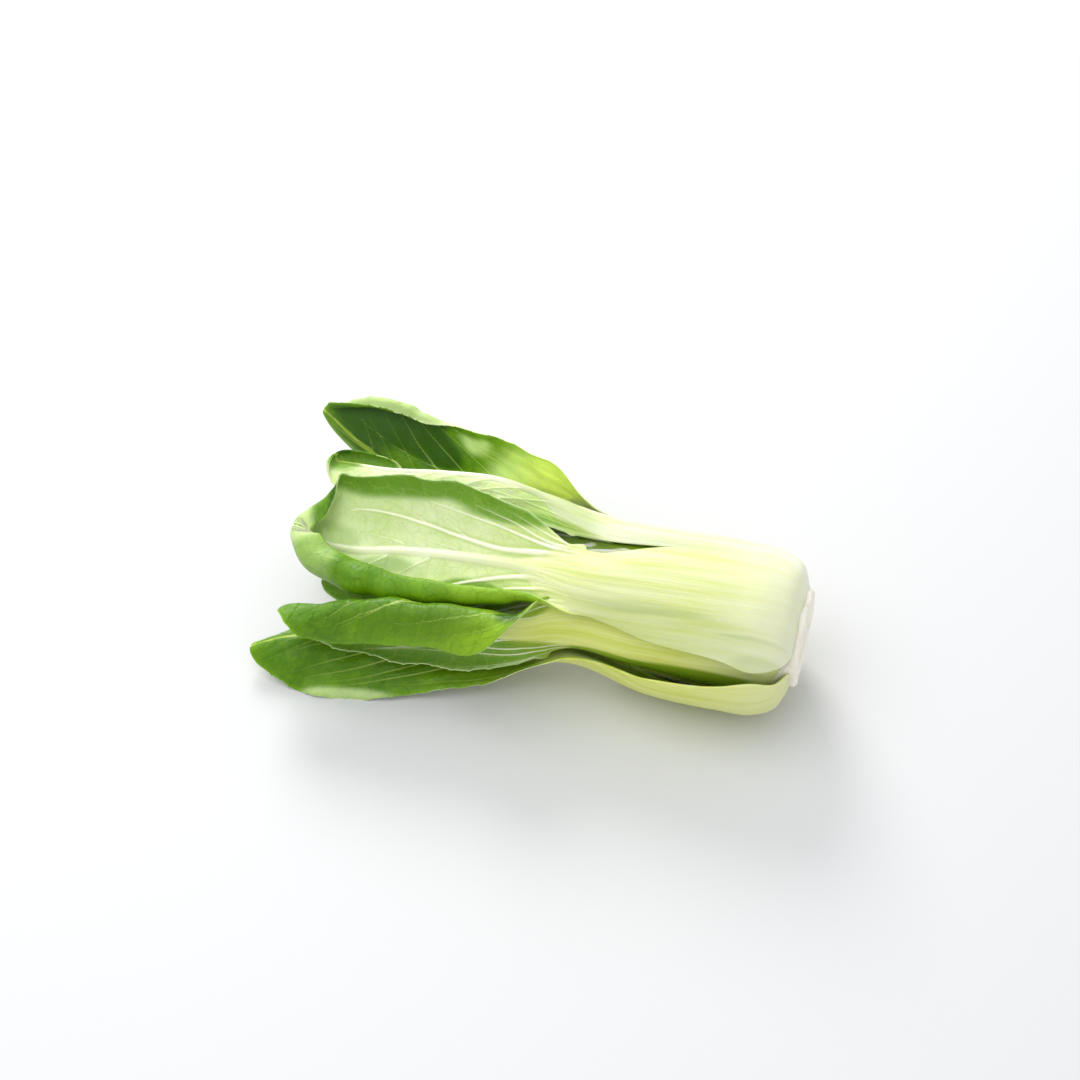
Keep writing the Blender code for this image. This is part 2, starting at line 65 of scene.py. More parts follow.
# The stalks
OUTER_BASE = 17.5  # from the axis to an outer stalk's skin at the butt
OUTER_START = 4.0  # an outer stalk starts nearer to the cut than this
INNER_BASE_SHARE = 0.8  # OUTER_BASE's fellow for an inner stalk, as a share of its full radius
BASE_THICKNESS = 3.5  # at the butt, from where a stalk thickens by THICKENING for each mm
THICKENING = 0.8
NECK_THINNING = 0.45  # how much thinner a stalk is at the neck, where its blade begins
STALK_EDGE = 1.2
CROWN = 1.5  # the power that a stalk's section bulges by towards its middle
RIDGE_HEIGHT = 0.05  # the fine ridges along a stalk
RIDGE_WIDTH = 7  # where the stalk's half width counts as RIDGE_SPAN
RIDGE_SPAN = 40
RIDGED = (0.25, 0.9)  # as shares of the way to the neck
RIDGE_FADE = 0.8  # how much weaker they are on the blade
RIDGED_RIB = 6.0  # they are weaker where the stalk's half width is less than this

# A stalk's sections before the neck. A row is how far it is past the stalk's start, in millimetres
# and as a share of the stalk's reach, its shares of the base's radius and of the full one, its
# width without the waist and by the waist, and how far it has turned towards the neck's face
STALK_SECTIONS = [
    (0, 0, 1, 0, 0.84, 0, 0),
    (4, 0, 1 / 3, 2 / 3, 0.94, 0, 0),
    (12, 0, 0, 0.98, 1, 0, 0),
    (0, 0.3, 0, 1, 0.45, 0.55, 0.2),
    (0, 0.62, 0, 0.98, 0, 1, 0.6),
]

# The midribs
RIB_THICKNESS = 2.2
RIB_RISE = 1.2  # how far the midrib stands out of the blade's back
RIB_THINNING = 0.75  # how much thinner it is at the blade's tip
RIB_TAPER = 0.12  # how much narrower it is there, as a share of the stalk's width
RIB_TIP_WIDTH = 0.05
RIB_FOOT = (0.9, 1.5)  # the stalk's edge thins out here, as shares of the midrib's half width
SHOULDER = 0.22  # where the stalk has narrowed to the midrib, as a share of the blade's length
RUN_OUT = 0.3  # where it has thinned to the midrib

# The blades
BLADE_THICKNESS = 0.6
EDGE_THINNING = 0.5  # how much thinner a wall is at its margin, over EDGE_WIDTH
EDGE_WIDTH = 1.5
LEAST_HALF = 1.4  # a blade's least width beside the midrib, up to RUN_OUT
LEAST_WIDTH = 0.05  # of a half at the tip
NECK_EASE = 4.0  # how far from the neck, both ways, the least width sets in
WAVE = 0.5  # how far the margins wave in and out
WAVE_LENGTH = 23.0
WAVE_START = 12.0  # how far past the neck they wave in full
WAVE_SHIFT = 2  # radians between the waves of the two halves
SWEEP = 0.25  # how far the sections of a blade sweep towards the tip, as a share of their width
SWEEP_START = 25.0  # how far past the neck they sweep in full
ROUNDING = 3.0  # how far from the midrib a section's turns set in
TANGENT_STEP = 6.0  # the midrib's direction is taken over this distance both ways
LAMINA_ALONG = (-0.02, 0.1)  # where a blade is thin and green, as shares of its length
LAMINA_ACROSS = (0.95, 1.35)  # and as shares of the midrib's half width

# The teeth on a margin, and its smaller bumps
TOOTH_LENGTH = 6.5
TOOTH_SHARPNESS = 6
TOOTH_SHIFT = 0.4  # how unevenly they stand, as a share of their length
TOOTH_SHIFT_LENGTH = 30
TEETH_IN, TEETH_OUT = (0.02, 0.2), (0.9, 1)  # as shares of the blade's length
BUMP_HEIGHT = 0.2
BUMP_LENGTH = 9

# The veins
VEIN_HEIGHT = 0.75
VEIN_HEIGHT_INSIDE = 0.12
VEIN_WIDTH = 0.8
VEIN_LEAST = 0.3  # the width of the faintest, as a share of VEIN_WIDTH
VEIN_WEAKENING = 0.65  # how much weaker a vein is at its end
VEIN_IN, VEIN_OUT = (0, 0.06), (0.9, 1)  # as shares of its length
VEIN_ACROSS = (0.5, 1.1)  # where they stand out, as shares of the midrib's half width
VEIN_LIMIT = 0.95  # how near they come to the margin, as a share of the half's width
VEIN_BEND = 1.7  # the power by which a vein that sets out at an angle bends
DIP_DEPTH = 0.35  # the dips beside a vein, as a share of its height
DIP_PLACE = 1.9  # how far from it they are, in its widths
FAINT = 0.3  # a vein that is weaker counts for the puckers as up to FAINT_GAP further away
FAINT_GAP = 6

# The puckers between the veins, and the crinkles
PUCKER = 0.55  # how far the blade bulges inwards between its veins
PUCKER_WIDTH = 3.2
CRINKLE_LENGTH = 15
CRINKLE_START = 12  # how far from the midrib they are full
CRINKLE_AT_MARGIN = 0.4
CALM = 7  # how far from the margin the puckers are full

# The paint along a leaf
MARGIN_WIDTH = 2.5
BASE_FADE = (5, 45)  # the cream of the base gives way between these distances along the stalk
YOUNG = 0.5  # how far the young green at the neck runs, as a share of the blade's length
PATCH_FADE = (0.62, 1.2)  # a patch fades between these shares of its size
FLAT_WIDTH, FLAT_LENGTH = 200.0, 220.0  # the leaf's UV map in mm, with the midrib in its middle

# The meshes
SECTION_STEPS = 60
STALK_PITCH = 2.2  # a stalk's rows are this much further apart than a blade's
ROW_SPREAD = 1.3  # the power by which a blade's rows stand closer near the tip
MERGE = 0.02  # points nearer than this become one
RIM_START = 3  # how far before the neck a blade's margin is taken to start
RIM_STRIDE = 4  # the line round a margin has every fourth of its points
EVENING_ROUNDS = 8
ROLL_STEP = 1.2  # the way out at a fold is taken over this distance

# Smooth random hills are a sum of waves, whose lengths vary by HILL_SPREAD, over HILL_PEAK
HILL_WAVES = 7
HILL_SPREAD = (0.7, 1.5)
HILL_PEAK = 1.2

# A half of a section is its width and the direction that the skin takes at the midrib, at one
# and two thirds of the way out, and at the edge: 0 is straight out, and a positive angle turns
# away from the head. The left half is on the side of the growing angle. At is the place of the
# midrib, and face is the angle that it faces.
Section = namedtuple("Section", "at face left right")

# A stalk starts at this distance from the cut and swells to this radius from the axis. Left and
# right are its halves there: the width, and the turns after the midrib's, which is 0. Waist is its
# width at the neck as a share of that, and thickness is its thickness in the middle.
Leaf = namedtuple("Leaf", "start radius face left right waist thickness sections")

LEAVES = {
    # Uppermost, towards the front: a dish whose rim curls up and rolls over at the front
    "leaf_1": Leaf(2.2, 30.5, 113, (24.5, -14, -29, -45), (23.5, -14, -28, -42), 0.78, 6.5, [
        Section((78, -13.5, 23.5), 120, (12.5, 0, -8, -16, -24), (11, 0, -8, -16, -22)),
        Section((88, -11.5, 21.5), 118, (14.5, 0, -4, -2, 10), (12, 0, -2, -3, -3)),
        Section((99, -9.5, 19.2), 116, (20.5, 0, -3, 0, 0), (19.5, 0, 5, 20, 50)),
        Section((122, -7.8, 15.2), 113, (27, 0, -5, 0, 0), (28, 0, 2, 25, 85)),
        Section((146, -7.2, 10.4), 111, (33.5, 0, -5, 0, 0), (29.5, 0, 0, 28, 95)),
        Section((166, -8.5, 6.5), 110, (33, 0, 0, 5, 5), (28.5, 0, 2, 24, 85)),
        Section((178, -7.5, 5.8), 110, (28, 0, 0, 5, 5), (25, 0, 8, 16, 60)),
        Section((190, -3, 6.3), 110, (18.5, 0, 0, 5, 5), (17.5, 0, 8, 15, 45)),
        Section((199.5, 0.5, 7), 110, (0, 0, 5, 5, 5), (0, 0, 8, 15, 25)),
    ]),
    # Top, behind leaf 1: a narrow tent with its ridge up
    "leaf_2": Leaf(2.2, 29.4, 58, (9.5, -18, -34, -44), (12, -7, -14, -22), 0.7, 6, [
        Section((80, 10, 28), 70, (9, -5, -12, -22, -30), (10, -5, -10, -20, -28)),
        Section((96, 14, 29.5), 72, (11, -25, -35, -45, -50), (14, -25, -35, -45, -50)),
        Section((116, 18, 29.5), 72, (13, -30, -45, -55, -60), (18, -40, -50, -55, -60)),
        Section((138, 21, 23.5), 72, (17, -30, -45, -55, -60), (18, -45, -60, -70, -70)),
        Section((161, 22, 17.5), 72, (14.5, -20, -30, -40, -45), (14.5, -30, -40, -45, -45)),
        Section((174, 23.5, 14.8), 72, (10.5, -20, -30, -40, -45), (11.5, -20, -30, -35, -35)),
        Section((183.5, 24.5, 13), 72, (0, -20, -30, -40, -45), (0, -20, -30, -35, -35)),
    ]),
    # Back: splayed and cupped, its upper margin curling in near the tip
    "leaf_3": Leaf(2.2, 28.3, 10, (13.5, -14, -30, -54), (21.5, -15, -31, -50), 0.85, 6.5, [
        Section((80, 25, 10), 5, (10, 0, -8, -16, -24), (10, 0, -8, -16, -24)),
        Section((90, 27, 7.5), -10, (18.5, 5, 0, 0, -10), (13, 0, -10, -15, -20)),
        Section((104, 28, 5), -25, (23, 10, 5, 0, -10), (17, 0, -10, -20, -30)),
        Section((130, 30, 2), -40, (26.5, 10, 0, -15, -30), (20, 0, -10, -15, -20)),
        Section((143, 31.7, 1.6), -43, (29.5, 5, -4, -16, -30), (18, 0, -5, 0, 0)),
        Section((156, 34, 2), -45, (32, 0, -8, -16, -28), (15, 0, 0, 10, 20)),
        Section((173, 40, 5), -45, (29.5, -5, -10, -16, -22), (9, 20, 40, 60, 80)),
        Section((183, 44.5, 7.5), -45, (23.5, -5, -10, -16, -20), (6, 20, 40, 60, 80)),
        Section((189, 47.5, 9.5), -45, (16, -5, -10, -16, -20), (4, 20, 40, 60, 80)),
        Section((193.5, 49.7, 11), -45, (0, -5, -10, -16, -20), (0, 20, 40, 60, 80)),
    ]),
    # Front, inside leaves 1 and 5: its upper half folded down over its back
    "leaf_4": Leaf(6, 24.5, 165, (14.5, -14, -28, -44), (16, -13, -26, -40), 0.95, 5, [
        Section((86, -22.8, 2.5), 172, (11, 0, -8, -16, -24), (15.5, 0, -6, -6, 0)),
        Section((94, -25.5, 1.5), 172, (12, 0, -4, 0, 15), (20, 6, 6, 40, 90)),
        Section((104, -27.5, 0.5), 172, (14, 0, 0, 20, 60), (31, 10, 18, 130, 165)),
        Section((122, -28, -2), 174, (17, 0, 5, 50, 120), (32, -3, 15, 145, 172)),
        Section((146, -30, -4.5), 176, (15, 0, 5, 50, 130), (34, -3, 15, 145, 172)),
        Section((166, -32.5, -5.5), 178, (10, 0, 10, 50, 120), (25, -3, 20, 125, 155)),
        Section((182.5, -35, -5), 178, (0, 0, 10, 30, 50), (0, 0, 10, 40, 60)),
    ]),
    # Lowest at the front: a tent that shows its inner side
    "leaf_5": Leaf(2.2, 31, 215, (21.5, -10, -24, -38), (26, -15, -31, -48), 0.8, 6.5, [
        Section((79, -18, -17), 228, (12, 0, -8, -16, -24), (10, 0, -8, -16, -22)),
        Section((104, -20, -19.5), 245, (13, 0, 5, 10, 10), (13, 15, 30, 35, 35)),
        Section((130, -23, -20.5), 250, (14, 5, 5, 0, 0), (19, 25, 40, 45, 40)),
        Section((154, -27, -20), 250, (14, 5, 5, 0, 0), (23, 33, 50, 56, 52)),
        Section((174, -32.5, -17.5), 250, (10, 10, 15, 10, 10), (20, 40, 60, 65, 50)),
        Section((185, -36.5, -19), 250, (5, 10, 15, 20, 20), (13, 40, 60, 65, 50)),
        Section((193.5, -40, -22), 250, (0, 10, 20, 30, 30), (0, 40, 60, 65, 50)),
    ]),
    # Underneath, towards the back: flat on the table
    "leaf_6": Leaf(2.2, 30.6, 287, (22, -13, -26, -40), (19.5, -15, -32, -50), 0.85, 6.5, [
        Section((80, 9, -26), 280, (10, 0, -8, -16, -24), (10, 0, -8, -16, -22)),
        Section((104, 12, -27), 276, (20, 0, -5, -10, -15), (16, 0, -5, -10, -15)),
        Section((130, 15, -28.8), 274, (28, 0, -5, -15, -30), (20, 0, -5, -15, -25)),
        Section((152, 17, -29.8), 274, (27, 0, -8, -20, -40), (21, 0, -8, -20, -30)),
        Section((172, 19, -28), 274, (18, 0, -10, -25, -40), (16, 0, -10, -25, -40)),
        Section((188, 21, -23), 274, (0, 0, -10, -25, -40), (0, 0, -10, -25, -40)),
    ]),
    # Inside, under leaves 1 and 2, with a short stalk
    "leaf_7": Leaf(8, 22, 88, (12.5, -11, -22, -34), (12.5, -11, -22, -34), 0.7, 4.5, [
        Section((50, 3, 24), 86, (8.5, 0, -8, -16, -24), (8.5, 0, -8, -16, -22)),
        Section((68, 3, 24.5), 86, (12, 0, -8, -16, -24), (12, 0, -8, -16, -24)),
        Section((92, 4, 21), 84, (13, 0, -15, -25, -35), (12, 0, -15, -25, -35)),
        Section((115, 5, 14), 84, (12, 0, -20, -40, -60), (10, 0, -20, -40, -60)),
        Section((137, 6, 8), 84, (10, 0, -20, -40, -60), (8, 0, -20, -40, -60)),
        Section((154, 7, 3), 84, (0, 0, -10, -20, -30), (0, 0, -10, -20, -30)),
    ]),
    # Inside, behind leaf 4
    "leaf_8": Leaf(13, 15, 138, (10, -13, -26, -40), (10, -13, -26, -40), 0.7, 4, [
        Section((70, -10, 9), 140, (7, 0, -8, -16, -24), (7, 0, -8, -16, -24)),
        Section((95, -13, 5), 155, (10, 0, -5, -10, -15), (8, 0, -5, -10, -15)),
        Section((120, -15, 0.5), 160, (11, 0, -5, -10, -15), (7, 0, -5, -10, -15)),
        Section((145, -16, -2.5), 160, (12, 0, -5, -10, -15), (7, 0, -5, -10, -15)),
        Section((162, -17, -4), 160, (10, 0, -5, -10, -15), (8, 0, -5, -10, -15)),
        Section((173, -17, -6), 160, (0, 0, -5, -10, -15), (0, 0, -5, -10, -15)),
    ]),
    # Inside, at the back
    "leaf_9": Leaf(8, 20.5, 12, (12, -12, -24, -36), (12, -12, -24, -36), 0.62, 4.5, [
        Section((70, 16, 2), 8, (7.5, 0, -8, -16, -24), (7.5, 0, -8, -16, -24)),
        Section((90, 15, 0), 5, (9, 0, -8, -16, -24), (10, 0, -8, -16, -24)),
        Section((112, 13, -3), 0, (7, 0, -8, -16, -24), (9, 0, -8, -16, -24)),
        Section((132, 12, -5), -5, (6, 0, -8, -16, -24), (8, 0, -8, -16, -24)),
        Section((146, 12, -6), -5, (5, 0, -8, -16, -24), (6, 0, -8, -16, -24)),
        Section((156, 12, -7), -5, (0, 0, -8, -16, -24), (0, 0, -8, -16, -24)),
    ]),
    # Inside, below
    "leaf_10": Leaf(8, 21.5, 248, (12, -12, -24, -36), (12, -12, -24, -36), 0.62, 4.5, [
        Section((72, -7, -17), 252, (8, 0, -8, -16, -24), (8, 0, -8, -16, -24)),
        Section((95, -5, -17), 262, (12, 0, -8, -16, -24), (10, 0, -8, -16, -24)),
        Section((120, -3, -17), 268, (14, 0, -8, -16, -24), (11, 0, -8, -16, -24)),
        Section((145, -2, -16), 270, (13, 0, -8, -16, -24), (11, 0, -8, -16, -24)),
        Section((162, -2, -15), 270, (9, 0, -8, -16, -24), (8, 0, -8, -16, -24)),
        Section((174, -2, -13), 270, (0, 0, -8, -16, -24), (0, 0, -8, -16, -24)),
    ]),
    # The heart
    "leaf_11": Leaf(21.5, 9.5, 50, (8, -20, -40, -60), (8, -20, -40, -60), 0.7, 3, [
        Section((60, 5, 6), 50, (5, 0, -12, -24, -36), (5, 0, -12, -24, -36)),
        Section((80, 5, 6), 50, (8, 0, -12, -24, -36), (8, 0, -12, -24, -36)),
        Section((100, 5, 4), 50, (8, 0, -12, -24, -36), (8, 0, -12, -24, -36)),
        Section((114, 5, 2), 50, (6, 0, -12, -24, -36), (6, 0, -12, -24, -36)),
        Section((123, 4, 1), 50, (0, 0, -12, -24, -36), (0, 0, -12, -24, -36)),
    ]),
    "leaf_12": Leaf(21.5, 9, 235, (8, -20, -40, -60), (8, -20, -40, -60), 0.7, 3, [
        Section((56, -4, -6), 235, (5, 0, -12, -24, -36), (5, 0, -12, -24, -36)),
        Section((74, -4, -6), 235, (7, 0, -12, -24, -36), (7, 0, -12, -24, -36)),
        Section((92, -4, -6), 235, (7, 0, -12, -24, -36), (7, 0, -12, -24, -36)),
        Section((104, -4, -6), 235, (5, 0, -12, -24, -36), (5, 0, -12, -24, -36)),
        Section((112, -4, -6), 235, (0, 0, -12, -24, -36), (0, 0, -12, -24, -36)),
    ]),
}

# How a leaf is finished: the pitch of its mesh over the blade and its columns, how much its blade
# crinkles, how high its margin's teeth are, how yellow its stalk is, how strong its veins are,
# which is None where they are drawn through listed places, and a seed for its draws
Finish = namedtuple("Finish", "pitch columns crinkle teeth yellow veins seed")

# A stalk's yellow is partly its own and partly painted: cream in light above, yellow in shade
FINISH = {
    "leaf_1": Finish(0.45, 64, 0.6, 0.3, 0.45, None, 11),
    "leaf_2": Finish(0.5, 48, 0.3, 0.3, 0.1, 0.3, 12),
    "leaf_3": Finish(0.5, 60, 0.5, 0.2, 0.3, 0.6, 13),
    "leaf_4": Finish(0.45, 64, 0.5, 0.6, 1.0, 0.65, 14),
    "leaf_5": Finish(0.5, 50, 0.5, 0.5, 1.0, 0.6, 15),
    "leaf_6": Finish(0.75, 44, 0.4, 0.3, 1.0, 0.75, 16),
    "leaf_7": Finish(0.8, 34, 0.3, 0.2, 0.7, 0.9, 17),
    "leaf_8": Finish(0.8, 34, 0.4, 0.2, 1.0, 0.6, 18),
    "leaf_9": Finish(1.0, 22, 0.3, 0.2, 1.0, 0.75, 19),
    "leaf_10": Finish(1.0, 22, 0.3, 0.2, 1.0, 0.75, 20),
    "leaf_11": Finish(1.2, 16, 0.3, 0.2, 1.0, 0.75, 21),
    "leaf_12": Finish(1.2, 16, 0.3, 0.2, 1.0, 0.75, 22),
}

# A vein runs from a place beside the midrib out to a share of the blade's width. Start and reach
# are along the midrib, as shares of the blade's length past the neck, and out is the distance from
# the midrib at its start, as a share of the stalk's half width at the neck. With fan 1 it sets out
# and ends along the midrib, and with fan 0 it sets out at an angle.
Vein = namedtuple("Vein", "start out reach end fan strength")

# A vein drawn through listed places of (distance along the midrib, distance from it) in mm
Drawn = namedtuple("Drawn", "strength places")

LEAF_1_VEINS = (
    [
        Drawn(1.0, [(84, 4), (91, 3), (104, 4), (120, 8), (136, 13), (146, 16)]),
        Drawn(0.8, [(84, 7), (92, 6.5), (102, 8), (115, 11.5), (124, 15)]),
        Drawn(0.6, [(86, 9), (96, 11), (104, 14)]),
        Drawn(0.45, [(140, 2), (150, 8), (158, 13)]),
        Drawn(0.45, [(156, 2), (166, 7), (172, 11)]),
    ],
    [
        Drawn(1.0, [
            (82, 6), (98, 5.8), (115, 4.6), (131, 7.2), (143, 10.2), (154, 13), (165.5, 15),
            (171, 14.5), (178, 11),
        ]),
        Drawn(0.75, [(84, 8), (101, 9), (117, 12.7), (128, 15.2), (139, 18), (146, 20)]),
        Drawn(0.6, [(86, 9.5), (100, 10.5), (110, 14.5), (120, 17.5), (128, 20)]),
        Drawn(0.5, [(88, 10.5), (98, 12.5), (106, 16), (112, 19)]),
        Drawn(0.4, [(112, 11.5), (120, 14), (126, 18)]),
        Drawn(0.4, [(128, 7), (136, 12), (142, 17)]),
        Drawn(0.4, [(143, 10.5), (150, 15), (154, 19)]),
        Drawn(0.35, [(130, 2), (142, 4.5), (152, 8)]),
        Drawn(0.35, [(150, 2), (160, 5), (170, 7)]),
    ],
)

USUAL_VEINS = [
    Vein(-0.10, 0.55, 1.00, 0.50, 1.0, 0.8),
    Vein(-0.09, 0.75, 0.75, 0.75, 1.0, 0.8),
    Vein(-0.07, 0.88, 0.50, 0.90, 0.8, 0.6),
    Vein(-0.05, 0.95, 0.33, 0.92, 0.6, 0.5),
    Vein(0.13, 0.10, 0.55, 0.86, 0.3, 0.9),
    Vein(0.25, 0.06, 0.48, 0.86, 0.2, 0.9),
    Vein(0.37, 0.04, 0.42, 0.86, 0.2, 0.85),
    Vein(0.48, 0.03, 0.36, 0.86, 0.2, 0.8),
    Vein(0.59, 0.02, 0.30, 0.86, 0.2, 0.7),
    Vein(0.69, 0.02, 0.25, 0.86, 0.2, 0.6),
    Vein(0.79, 0.02, 0.18, 0.84, 0.2, 0.5),
    Vein(0.87, 0.02, 0.11, 0.80, 0.2, 0.4),
]

# How the usual veins vary from leaf to leaf
VEIN_STAGGER = 0.05  # how much later a vein on the right starts than its fellow on the left
START_SPREAD = 0.012
REACH_SPREAD = (0.92, 1.08)
STRENGTH_SPREAD = (0.85, 1.1)
LAST_END = 0.99  # of the blade's length

# A margin that is rolled over: rows of the place, from 0 at the neck on the left over 0.5 at the
# tip to 1 at the neck on the right, the band that is wound up, the radius of the roll, and how far
# it turns, which is negative where it turns towards the head's middle.
RIMS = {
    "leaf_1": [
        (0.00, 0.0, 1.8, 120), (0.02, 3.0, 1.7, 150), (0.05, 6.0, 1.9, 180), (0.09, 9.0, 2.5, 188),
        (0.155, 12, 3.0, 195), (0.21, 16, 3.9, 200), (0.275, 21, 5.1, 205), (0.34, 22, 5.2, 205),
        (0.40, 20.5, 4.6, 200), (0.46, 18.5, 3.8, 190), (0.50, 17.5, 3.3, 185),
        (0.54, 15.5, 3.0, 180), (0.58, 13.5, 2.8, 175), (0.62, 11, 2.6, 165), (0.65, 7, 2.6, 140),
        (0.68, 0.0, 3.0, 60), (1.00, 0.0, 3.0, 20),
    ],
    "leaf_2": [
        (0.00, 0.0, 1.5, 20), (0.44, 0.0, 1.5, 60), (0.48, 2.5, 1.5, 120), (0.52, 5.0, 1.6, 170),
        (0.57, 6.5, 1.8, 180), (0.62, 6, 1.8, 160), (0.67, 0.0, 1.8, 60), (1.00, 0.0, 1.5, 20),
    ],
    "leaf_3": [
        (0.00, 0.0, 2.2, -20), (0.17, 0.0, 2.2, -60), (0.22, 4, 2.2, -110), (0.27, 7.5, 2.2, -160),
        (0.33, 9.0, 2.1, -178), (0.40, 8.5, 2.0, -178), (0.45, 6.5, 1.8, -178),
        (0.48, 4.0, 1.6, -165), (0.51, 0.0, 1.6, -60), (1.00, 0.0, 2.2, -20),
    ],
}

# Patches of painted light and shade on a blade. Above 0 a patch paints shade: the dark green of
# shaded hollows and gaps and of walls that light shines through. Below 0 it paints light: the pale
# green of light let through the leaf, and sheen. A row is the patch's place along the midrib and
# across from it, negative on the left, its half length and half width in mm, and how strong it is
LIGHT_AND_SHADE_PATCHES = {
    "leaf_1": [
        (148, 27, 46, 8.5, 1.0), (110, 19, 22, 6, 0.9), (180, 2, 14, 8, 0.4), (158, -6, 14, 4, 0.5),
        (122, -11, 12, 3, 0.8), (202, 4, 14, 18, -0.8), (188, -16, 18, 14, -0.4),
        (50, -14, 40, 10, 0.24), (112, -10, 24, 4, 0.35), (64, -6.5, 30, 2.5, 0.22),
        (18, -11.8, 16, 1, 0.16), (14, -22, 14, 5, 0.26),
    ],
    "leaf_2": [
        (186, 4, 13, 9, 1.0), (172, 10, 9, 6, 1.0), (146, -6, 36, 11, -0.4), (90, -9, 14, 3, 0.45),
        (104, -3, 28, 9, 0.42),
    ],
    "leaf_3": [
        (176, -10, 34, 15, 0.9), (150, -16, 12, 12, 0.7), (106, -6, 26, 18, -1.0),
        (136, -24, 12, 9, -0.8), (152, -3, 24, 6, -0.7), (140, -28, 28, 6, 0.9),
        (172, -27, 20, 6, 1.0), (187, -19, 9, 5, 1.0),
    ],
    "leaf_4": [
        (128, -14, 50, 12, 0.9), (97, -7, 18, 6, 1.0), (30, -9, 28, 5.5, 1.0),
        (62, -8, 18, 4, 0.9), (88, 15, 10, 7, 0.9), (130, 12, 40, 20, 0.45),
    ],
    "leaf_5": [(160, 23, 24, 5, -0.8), (50, -2, 40, 20, 0.9)],
    "leaf_7": [(64, 0, 30, 16, 1.0)],
    "leaf_8": [(140, 0, 60, 20, 1.0)],
    "leaf_10": [(44, 8, 40, 14, 0.9)],
}
OUTSIDE_SHARE = {"leaf_3": 0.45, "leaf_5": 0.0}  # how strong a leaf's patches are on its outer face

# The butt: the radius and depth of its outline, from the middle of the cut face over the rim to the
# end of the cone that the stalks stand round, and its bumps, of which a row is the height, as a
# share of the radius on the rim and in mm on the face, the length and a seed
BUTT_PROFILE = [
    (0, 0), (4, 0.1), (8, 0), (12, 0.1), (15.4, 0.0), (16.8, 0.25), (17.4, 0.9), (17.6, 2.2),
    (17.2, 3.6), (15, 6), (12.3, 9), (8, 13), (3.5, 20), (0, 20),
]
BUTT_ROWS = 110
BUTT_COLUMNS = 180
BUTT_RADIUS = 17
BUTT_FLAT = (7, 60)  # its UV map, in radians and mm
RIM_BUMPS = [(0.025, 16, 5), (0.012, 5, 6)]
FACE_BUMPS = [(0.25, 9, 7), (0.12, 3, 8)]
FACE_DEPTH = 3  # the face's bumps end at this depth
FACE_INSET = 0.3

# The stub of a trimmed leaf, low at the front of the butt: its angle round the axis and its spread,
# in radians, how far it stands out and lies back, and the radii and depths that it sets in at
STUB_ANGLE = 3.25
STUB_SPREAD = 0.32
STUB_RISE = 4.5
STUB_SLANT = 1.3
STUB_RADII = (8, 16)
STUB_DEPTHS = (0.5, 4)


def smooth(knots, values, at):
    """A smooth curve through the values at the knots, read at one place or at several."""
    slopes = np.gradient(values, knots, axis=0)
    k = np.clip(np.searchsorted(knots, at) - 1, 0, len(knots) - 2)
    span = knots[k + 1] - knots[k]
    t = (at - knots[k]) / span
    if np.ndim(at):
        shape = (-1,) + (1,) * (np.ndim(values) - 1)
        t, span = t.reshape(shape), span.reshape(shape)
    return (
        (2 * t**3 - 3 * t**2 + 1) * values[k]
        + (t**3 - 2 * t**2 + t) * span * slopes[k]
        + (3 * t**2 - 2 * t**3) * values[k + 1]
        + (t**3 - t**2) * span * slopes[k + 1]
    )


def unit(vector):
    return vector / np.linalg.norm(vector)


def unit_rows(vectors):
    return vectors / np.linalg.norm(vectors, axis=1)[:, None]


def ramp(low, high, value):
    """0 below low, 1 above high, and smooth between."""
    t = np.clip((value - low) / (high - low), 0, 1)
    return t * t * (3 - 2 * t)


def ripple(x, y, length, seed):
    """Smooth random hills of about this length, between -1 and 1 or so."""
    draw = np.random.default_rng(seed)
    hills = 0
    for _ in range(HILL_WAVES):
        way, phase = draw.uniform(0, 2 * np.pi, 2)
        pitch = length * draw.uniform(*HILL_SPREAD)
        hills = hills + np.sin(2 * np.pi * (x * np.cos(way) + y * np.sin(way)) / pitch + phase)
    return hills / HILL_WAVES**0.5 / HILL_PEAK


def clasp(leaf, distance, share, narrowing, turning):
    """The section of a stalk where it clasps the head, at this share of its full radius."""
    face = leaf.face + turning * (leaf.sections[0].face - leaf.face)
    radius = leaf.radius * share
    at = (distance, radius * np.cos(np.radians(face)), radius * np.sin(np.radians(face)))
    halves = []
    for width, *turns in (leaf.left, leaf.right):
        halves.append((width * share * narrowing, 0, *(turn * narrowing for turn in turns)))
    return Section(at, face, *halves)


